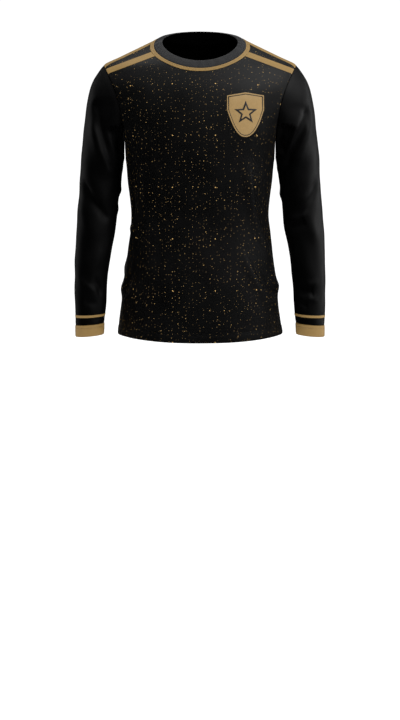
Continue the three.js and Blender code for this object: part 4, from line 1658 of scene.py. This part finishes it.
@dataclass
class Emblem:
    """A plain embroidered shield with a star, on the wearer's left chest."""

    bench: Bench
    across: float = 0.103
    drop: float = 0.172
    half_width: float = 0.042
    half_height: float = 0.050
    star_radius: float = 0.027
    star_rise: float = 0.004
    core_share: float = 0.62
    outline_points: int = 180

    def _spot(self, u: Points, v: Points) -> tuple[Points, Points]:
        """The torso's angle and drop at u across and v up from the emblem's middle."""
        torso = self.bench.torso
        drop = self.drop - v
        return torso.angle_at(self.across + u, drop), drop

    def shield_reach(self, angle: Points, inset: float) -> Points:
        """How far the shield's edge, moved in by inset, is from its middle at an angle from upright."""
        low, high = np.zeros(np.shape(angle)), np.full(np.shape(angle), 0.09)
        half, tall = self.half_width - inset, self.half_height - inset
        for _ in range(SHIELD_HALVINGS):
            reach = (low + high) / 2
            u, v = np.abs(reach * np.sin(angle)), reach * np.cos(angle)
            side, top = half - u, tall - 0.16 * u - v
            foot = v + tall - 1.24 * tall * (u / half) ** 2.2
            inside = np.minimum(np.minimum(side, top), foot) > 0
            low, high = np.where(inside, reach, low), np.where(inside, high, reach)
        return low

    def star_reach(self, angle: Points, radius: float) -> Points:
        """How far a five-pointed star's edge is from its middle at an angle from upright."""
        fifth = 2 * math.pi / 5
        turn = np.abs((angle + fifth / 2) % fifth - fifth / 2)
        inner = 0.42 * radius
        tip, notch = np.array([radius, 0]), inner * np.array([math.cos(fifth / 2), math.sin(fifth / 2)])
        edge = notch - tip
        return (tip[0] * edge[1]) / (np.cos(turn) * edge[1] - np.sin(turn) * edge[0])

    def _badge(
        self,
        reach: Callable[[Points], Points],
        section: Sequence[tuple[float, float]],
        lift_v: float = 0.0,
        hollow: bool = False,
    ) -> MeshData:
        """A flat embroidered shape on the chest.

        Args:
            reach: The outline's distance from the middle at each angle.
            section: Share of the way out, or inset in metres where negative, and height in millimetres.
            lift_v: How far above the emblem's middle the shape's middle is.
            hollow: True for a ring whose section closes on itself.

        Returns:
            The shape's closed mesh.
        """
        torso = self.bench.torso
        angle = np.arange(self.outline_points) * 2 * math.pi / self.outline_points
        edge = reach(angle)
        rings = []
        for share, height in section:
            out = edge * share if share >= 0 else np.maximum(edge + share, 0)
            phi, drop = self._spot(out * np.sin(angle), lift_v + out * np.cos(angle))
            normal = slope_normal(torso.at, phi, drop, *TORSO_STEPS)
            rings.append(torso.at(phi, drop) + normal * height * MM)
        count, size = len(rings), len(angle)
        points = np.concatenate(rings)
        flat = np.stack([points[:, 0], points[:, 2]], -1)
        faces = []
        for i in range(count if hollow else count - 1):
            for j in range(size):
                k = (j + 1) % size
                a, b = i * size, ((i + 1) % count) * size
                faces.append((a + j, a + k, b + k, b + j))
        if not hollow:
            faces.append(tuple(range(size))[::-1])
            faces.append(tuple((count - 1) * size + j for j in range(size)))
        return MeshData(points, faces, flat)

    def build(self) -> None:
        """Makes the shield's field, its border and line, and the star."""
        bench = self.bench

        def shield(inset: float) -> Callable[[Points], Points]:
            """The outline of a shield moved in by inset."""
            return lambda angle: self.shield_reach(angle, inset)

        def star(share: float) -> Callable[[Points], Points]:
            """The outline of a star of this share of the full size."""
            return lambda angle: self.star_reach(angle, self.star_radius * share)

        ground = [(0.1, 0.1), (1.0, 0.1), (1.0, 0.55), (0.97, 0.8), (0.6, 0.9), (0.1, 0.9)]
        data = self._badge(shield(0.0045), ground)
        bench.place(data, "shield_field", SATIN_STITCH, Slot.GOLD, stands_for=("emblem_shield",))
        line = [(-0.0046, 0.1), (-0.003, 0.1), (-0.003, 0.7), (-0.0046, 0.7)]
        data = self._badge(shield(0.0), line, hollow=True)
        bench.place(data, "shield_line", BLACK_STITCH, Slot.PLAIN)
        border = [(-0.0031, 0.1), (1.0, 0.1), (1.0, 0.6), (-0.0005, 1.1)]
        border += [(-0.0015, 1.3), (-0.0026, 1.1), (-0.0031, 0.6)]
        data = self._badge(shield(0.0), border, hollow=True)
        bench.place(data, "shield_border", SATIN_STITCH, Slot.GOLD)
        patch = [(0.05, 0.8), (1.0, 0.8), (1.0, 1.15), (0.93, 1.35), (0.6, 1.45), (0.05, 1.45)]
        data = self._badge(star(1), patch, self.star_rise)
        bench.place(data, "star_patch", BLACK_STITCH, Slot.PLAIN, stands_for=("emblem_star",))
        core = [(0.05, 1.4), (1.0, 1.4), (1.0, 1.6), (0.9, 1.75), (0.05, 1.8)]
        data = self._badge(star(self.core_share), core, self.star_rise)
        bench.place(data, "star_core", SATIN_STITCH, Slot.GOLD)


# ---------------------------------------------------------------- studio


@dataclass
class Studio:
    """The pale floor, the soft lights and the camera."""

    floor_drop: float = 0.45
    lens: float = 107.3
    distance: float = 5.0
    height: float = -0.065
    pitch: float = 7.77
    surround: float = 1.06
    mirrored: float = 0.012

    def _softbox(
        self,
        name: str,
        place: tuple[float, float, float],
        size: tuple[float, float],
        watts: float,
        aim: float,
    ) -> None:
        """A rectangular light that faces the garment.

        Args:
            name: The light's name.
            place: Where it stands.
            size: Its width and height.
            watts: Its power.
            aim: The height it is aimed at.
        """
        light = bpy.data.lights.new(name, "AREA")
        light.shape, light.size, light.size_y, light.energy = "RECTANGLE", size[0], size[1], watts
        lamp = bpy.data.objects.new(name, light)
        lamp.location = place
        lamp.rotation_euler = (Vector((0, 0, aim)) - Vector(place)).to_track_quat("-Z", "Y").to_euler()
        bpy.context.scene.collection.objects.link(lamp)

    def _air(self) -> None:
        """An even white surround that is dim where cloth would mirror it."""
        world = bpy.data.worlds.new("studio_air")
        bpy.context.scene.world = world
        world.use_nodes = True
        tree = world.node_tree
        tree.nodes.clear()
        output, mix = tree.nodes.new("ShaderNodeOutputWorld"), tree.nodes.new("ShaderNodeMixShader")
        path = tree.nodes.new("ShaderNodeLightPath")
        tree.links.new(path.outputs["Is Glossy Ray"], mix.inputs[0])
        for place, strength in ((1, self.surround), (2, self.mirrored)):
            glow = tree.nodes.new("ShaderNodeBackground")
            glow.inputs["Strength"].default_value = strength
            glow.inputs["Color"].default_value = (1, 1, 1, 1)
            tree.links.new(glow.outputs[0], mix.inputs[place])
        tree.links.new(mix.outputs[0], output.inputs[0])

    def build(self) -> None:
        """Sets up the studio round the garment."""
        low, _ = CAD_BOX
        side = 40.0
        corners = [(-side, -side), (side, -side), (side, side), (-side, side)]
        data = MeshData(np.array([(x, y, low.z - self.floor_drop) for x, y in corners]), [(0, 1, 2, 3)])
        floor = data.build("studio_floor")
        Wardrobe().dress(floor, PlainPaper("pale_paper", (0.9, 0.9, 0.9), glow=0.25))
        floor.visible_glossy = False
        self._air()
        self._softbox("key_light", (1.9, -1.6, 2.6), (1.0, 1.0), 60, -0.1)
        self._softbox("rim_right", (2.8, 0.9, 0.2), (0.8, 2.2), 24, -0.3)
        self._softbox("rim_left", (-2.6, 1.6, 0.2), (0.8, 2.2), 7, -0.3)
        self._softbox("fill_light", (3.0, -1.4, 0.0), (1.0, 2.0), 7, -0.3)
        self._softbox("top_light", (-0.3, 0.8, 2.6), (2.0, 1.0), 30, 0.0)
        camera = bpy.data.cameras.new("studio_camera")
        camera.lens, camera.sensor_width = self.lens, 36.0
        camera.clip_start, camera.clip_end = 0.1, 200
        view = bpy.data.objects.new("studio_camera", camera)
        view.location = (0, -self.distance, self.height)
        view.rotation_euler = (math.radians(90 - self.pitch), 0, 0)
        bpy.context.scene.collection.objects.link(view)
        bpy.context.scene.camera = view
        bpy.context.scene.view_settings.view_transform = "Standard"


# ---------------------------------------------------------------- drape


def both_sides(fold: Fold) -> tuple[Fold, Fold]:
    """The fold and its mirror image across the centre plane."""
    return fold, replace(fold, run=tuple((-angle, height) for angle, height in fold.run))


BODY_FOLDS = (
    Fold(((38, -0.259), (46, -0.368), (63, -0.461), (82, -0.543)), 0.0052, 0.012, 1.7, (0.25, 0.3)),
    Fold(((54, -0.300), (60, -0.380), (74, -0.450), (88, -0.510)), -0.0040, 0.014),
    Fold(((33, -0.470), (50, -0.570), (80, -0.628)), 0.0046, 0.011, 1.7, (0.3, 0.2)),
    Fold(((48, -0.500), (66, -0.570), (86, -0.600)), -0.0045, 0.013),
    Fold(((70, -0.560), (88, -0.572), (106, -0.566)), 0.0050, 0.015),
    Fold(((-49, -0.270), (-60, -0.375), (-85, -0.494)), 0.0052, 0.012, 0.6, (0.25, 0.3)),
    Fold(((-64, -0.310), (-74, -0.390), (-90, -0.470)), -0.0040, 0.014),
    Fold(((-36, -0.471), (-51, -0.558), (-78, -0.621)), 0.0042, 0.011, 0.6, (0.3, 0.2)),
    Fold(((-52, -0.500), (-68, -0.560), (-86, -0.596)), -0.0045, 0.013),
    Fold(((-70, -0.560), (-88, -0.578), (-106, -0.566)), 0.0050, 0.015),
    *both_sides(Fold(((60, -0.215), (66, -0.250), (78, -0.290)), -0.0050, 0.010, 1.0, (0.3, 0.4))),
    *both_sides(Fold(((20, -0.10), (34, -0.18), (60, -0.262)), 0.0030, 0.030, 1.3)),
    Fold(((8, -0.25), (6, -0.45), (12, -0.66)), 0.0022, 0.030),
    Fold(((-12, -0.28), (-10, -0.48), (-16, -0.67)), 0.0022, 0.028),
    *both_sides(Fold(((82, -0.40), (90, -0.46), (96, -0.52)), 0.0030, 0.030)),
    Fold(((101, -0.520), (119, -0.555), (134, -0.590)), 0.0050, 0.011, 0.6, (0.2, 0.4)),
    Fold(((104, -0.560), (122, -0.600), (140, -0.640)), -0.0035, 0.014),
    Fold(((100, -0.424), (112, -0.462), (132, -0.505)), 0.0045, 0.012, 0.6, (0.2, 0.4)),
    Fold(((110, -0.500), (126, -0.530), (140, -0.560)), -0.0030, 0.014),
    Fold(((-91, -0.500), (-103, -0.553), (-124, -0.590), (-136, -0.612)), 0.0050, 0.011, 1.7, (0.2, 0.4)),
    Fold(((-96, -0.550), (-116, -0.602), (-138, -0.645)), -0.0035, 0.014),
    Fold(((-94, -0.424), (-106, -0.462), (-124, -0.500)), 0.0045, 0.012, 1.7, (0.2, 0.4)),
    Fold(((-106, -0.500), (-122, -0.530), (-138, -0.560)), -0.0030, 0.014),
    Fold(((130, -0.220), (124, -0.323), (121, -0.401)), -0.0045, 0.016, 1.2, (0.3, 0.4)),
    Fold(((148, -0.180), (146, -0.323), (142, -0.460)), 0.0040, 0.018, 1.0, (0.4, 0.4)),
    Fold(((-121, -0.228), (-104, -0.325), (-98, -0.403)), -0.0045, 0.016, 0.8, (0.3, 0.4)),
    Fold(((-146, -0.180), (-142, -0.323), (-138, -0.460)), 0.0040, 0.018, 1.0, (0.4, 0.4)),
    Fold(((164, -0.22), (168, -0.42), (160, -0.66)), -0.0035, 0.022),
    Fold(((-166, -0.24), (-170, -0.44), (-164, -0.66)), -0.0035, 0.022),
    *both_sides(Fold(((150, -0.060), (160, -0.105), (170, -0.180)), -0.0050, 0.022)),
)

RIGHT_SLEEVE_FOLDS = (
    Fold(
        ((45, -0.174), (64, -0.208), (88, -0.254), (111, -0.296), (132, -0.319)),
        0.0065,
        0.010,
        1.6,
        (0.3, 0.25),
    ),
    Fold(((48, -0.136), (70, -0.177), (93, -0.231), (120, -0.284)), -0.0070, 0.011, 0.9, (0.15, 0.3)),
    Fold(((63, -0.135), (91, -0.184), (118, -0.231), (140, -0.269)), 0.0035, 0.012),
    Fold(((106, -0.200), (121, -0.226), (147, -0.262)), -0.0130, 0.0095, 1.0, (0.03, 0.2), 3.0),
    Fold(((33, -0.319), (66, -0.355), (98, -0.387), (136, -0.421)), -0.0058, 0.010, 1.3, (0.25, 0.2)),
    Fold(((32, -0.297), (74, -0.326), (108, -0.361), (138, -0.388)), 0.0035, 0.016),
    Fold(((12, -0.348), (42, -0.385), (73, -0.427), (96, -0.473)), 0.0032, 0.018),
    Fold(((26, -0.529), (54, -0.554), (90, -0.572), (128, -0.597)), 0.0030, 0.009, 1.3),
    Fold(((94, -0.546), (123, -0.569), (140, -0.597)), -0.0038, 0.010),
    Fold(((65, -0.600), (90, -0.605), (129, -0.608)), -0.0030, 0.009),
    Fold(((328, -0.134), (297, -0.167), (268, -0.197), (250, -0.213)), 0.0062, 0.010, 0.7, (0.3, 0.15)),
    Fold(((316, -0.194), (280, -0.239), (246, -0.270), (224, -0.282)), 0.0062, 0.011, 0.7, (0.3, 0.15)),
    Fold(((310, -0.132), (290, -0.158), (266, -0.184), (250, -0.196)), -0.0068, 0.011, 1.0, (0.2, 0.1)),
    Fold(((302, -0.190), (270, -0.224), (239, -0.259)), -0.0075, 0.012, 1.0, (0.2, 0.1)),
    Fold(((288, -0.194), (264, -0.216), (251, -0.224)), 0.0035, 0.006),
    Fold(((205, -0.318), (235, -0.321), (268, -0.329)), -0.0050, 0.0085, 1.0, (0.2, 0.08), 2.6),
    Fold(((256, -0.344), (276, -0.350), (299, -0.352)), -0.0030, 0.0085, 1.0, (0.3, 0.08), 2.6),
    Fold(((205, -0.364), (250, -0.371), (279, -0.373)), -0.0050, 0.0085, 1.0, (0.2, 0.08), 2.6),
    Fold(((262, -0.383), (281, -0.389), (302, -0.392)), -0.0028, 0.0085, 1.0, (0.3, 0.08), 2.6),
    Fold(((205, -0.398), (246, -0.407), (264, -0.414)), -0.0050, 0.0085, 1.0, (0.2, 0.08), 2.6),
    Fold(((215, -0.297), (249, -0.308), (276, -0.331)), 0.0040, 0.007),
    Fold(((224, -0.345), (258, -0.356), (292, -0.373)), 0.0035, 0.006),
    Fold(((215, -0.383), (254, -0.388), (270, -0.400)), 0.0035, 0.006),
    Fold(((236, -0.428), (259, -0.435), (276, -0.444)), 0.0028, 0.008),
    Fold(((150, -0.345), (168, -0.350), (190, -0.348)), 0.0035, 0.012),
    Fold(((150, -0.385), (168, -0.392), (190, -0.386)), 0.0030, 0.012),
)

LEFT_SLEEVE_FOLDS = (
    Fold(
        ((38, -0.174), (57, -0.208), (73, -0.231), (99, -0.265), (128, -0.305)),
        0.0068,
        0.010,
        1.6,
        (0.3, 0.25),
    ),
    Fold(
        ((45, -0.147), (60, -0.185), (88, -0.230), (113, -0.269), (134, -0.304)),
        -0.0078,
        0.011,
        0.9,
        (0.15, 0.25),
    ),
    Fold(((68, -0.153), (92, -0.196), (110, -0.230), (130, -0.269)), 0.0045, 0.011),
    Fold(((103, -0.197), (117, -0.226), (146, -0.262)), -0.0140, 0.0110, 1.0, (0.03, 0.2), 3.0),
    Fold(
        ((30, -0.316), (55, -0.350), (82, -0.376), (114, -0.397), (156, -0.410)),
        -0.0058,
        0.010,
        0.75,
        (0.2, 0.2),
    ),
    Fold(((48, -0.285), (72, -0.322), (102, -0.361), (130, -0.385)), 0.0042, 0.018),
    Fold(((145, -0.427), (113, -0.426), (88, -0.416)), -0.0058, 0.009, 1.0, (0.3, 0.06), 2.6),
    Fold(((70, -0.392), (106, -0.409), (140, -0.413)), 0.0040, 0.008),
    Fold(((54, -0.388), (70, -0.415), (66, -0.446), (66, -0.477)), 0.0030, 0.014),
    Fold(((136, -0.581), (109, -0.583), (76, -0.581)), -0.0040, 0.0085, 1.0, (0.3, 0.08), 2.6),
    Fold(((134, -0.607), (116, -0.610), (101, -0.611)), -0.0034, 0.0075, 1.0, (0.3, 0.08), 2.6),
    Fold(((52, -0.550), (84, -0.564), (114, -0.559)), 0.0030, 0.008),
    Fold(((52, -0.596), (84, -0.598), (112, -0.594)), 0.0025, 0.008),
    Fold(((330, -0.126), (288, -0.167), (260, -0.201), (250, -0.209)), 0.0062, 0.010, 0.7, (0.3, 0.15)),
    Fold(((318, -0.183), (274, -0.239), (238, -0.274), (211, -0.294)), 0.0062, 0.011, 0.7, (0.3, 0.15)),
    Fold(((308, -0.130), (284, -0.162), (262, -0.188), (250, -0.198)), -0.0068, 0.011, 1.0, (0.2, 0.1)),
    Fold(((299, -0.179), (263, -0.224), (229, -0.262)), -0.0075, 0.012, 1.0, (0.2, 0.1)),
    Fold(((279, -0.190), (256, -0.221), (240, -0.240)), 0.0035, 0.006),
    Fold(((245, -0.324), (227, -0.320), (196, -0.312)), -0.0062, 0.0095, 1.0, (0.06, 0.2), 2.6),
    Fold(((276, -0.341), (255, -0.346), (236, -0.350)), -0.0028, 0.0095, 1.0, (0.08, 0.3), 2.6),
    Fold(((251, -0.375), (230, -0.374), (193, -0.364)), -0.0062, 0.0095, 1.0, (0.06, 0.2), 2.6),
    Fold(((236, -0.397), (216, -0.401), (193, -0.400)), -0.0045, 0.0090, 1.0, (0.08, 0.3), 2.6),
    Fold(((255, -0.292), (232, -0.302), (198, -0.300)), 0.0040, 0.008),
    Fold(((256, -0.349), (224, -0.349), (188, -0.343)), 0.0042, 0.007),
    Fold(((250, -0.412), (226, -0.424), (197, -0.419)), 0.0035, 0.008),
    Fold(((150, -0.352), (168, -0.358), (192, -0.352)), 0.0040, 0.012),
)


def main() -> None:
    """Builds the whole garment and the studio."""
    logging.basicConfig(level=logging.INFO, format="%(name)s %(message)s")
    torso = Torso(folds=BODY_FOLDS)
    folds = {Side.LEFT: LEFT_SLEEVE_FOLDS, Side.RIGHT: RIGHT_SLEEVE_FOLDS}
    sleeves = {side: Sleeve(torso, side, folds=folds[side]) for side in Side}
    bench = Bench(torso, sleeves)
    BodyPanels(bench).build()
    for side in Side:
        SleevePieces(bench, side).build()
        Shoulders(bench).build(side)
    Neck(bench).build()
    Labels(bench).build()
    Emblem(bench).build()
    Studio().build()


if __name__ == "__main__":
    main()
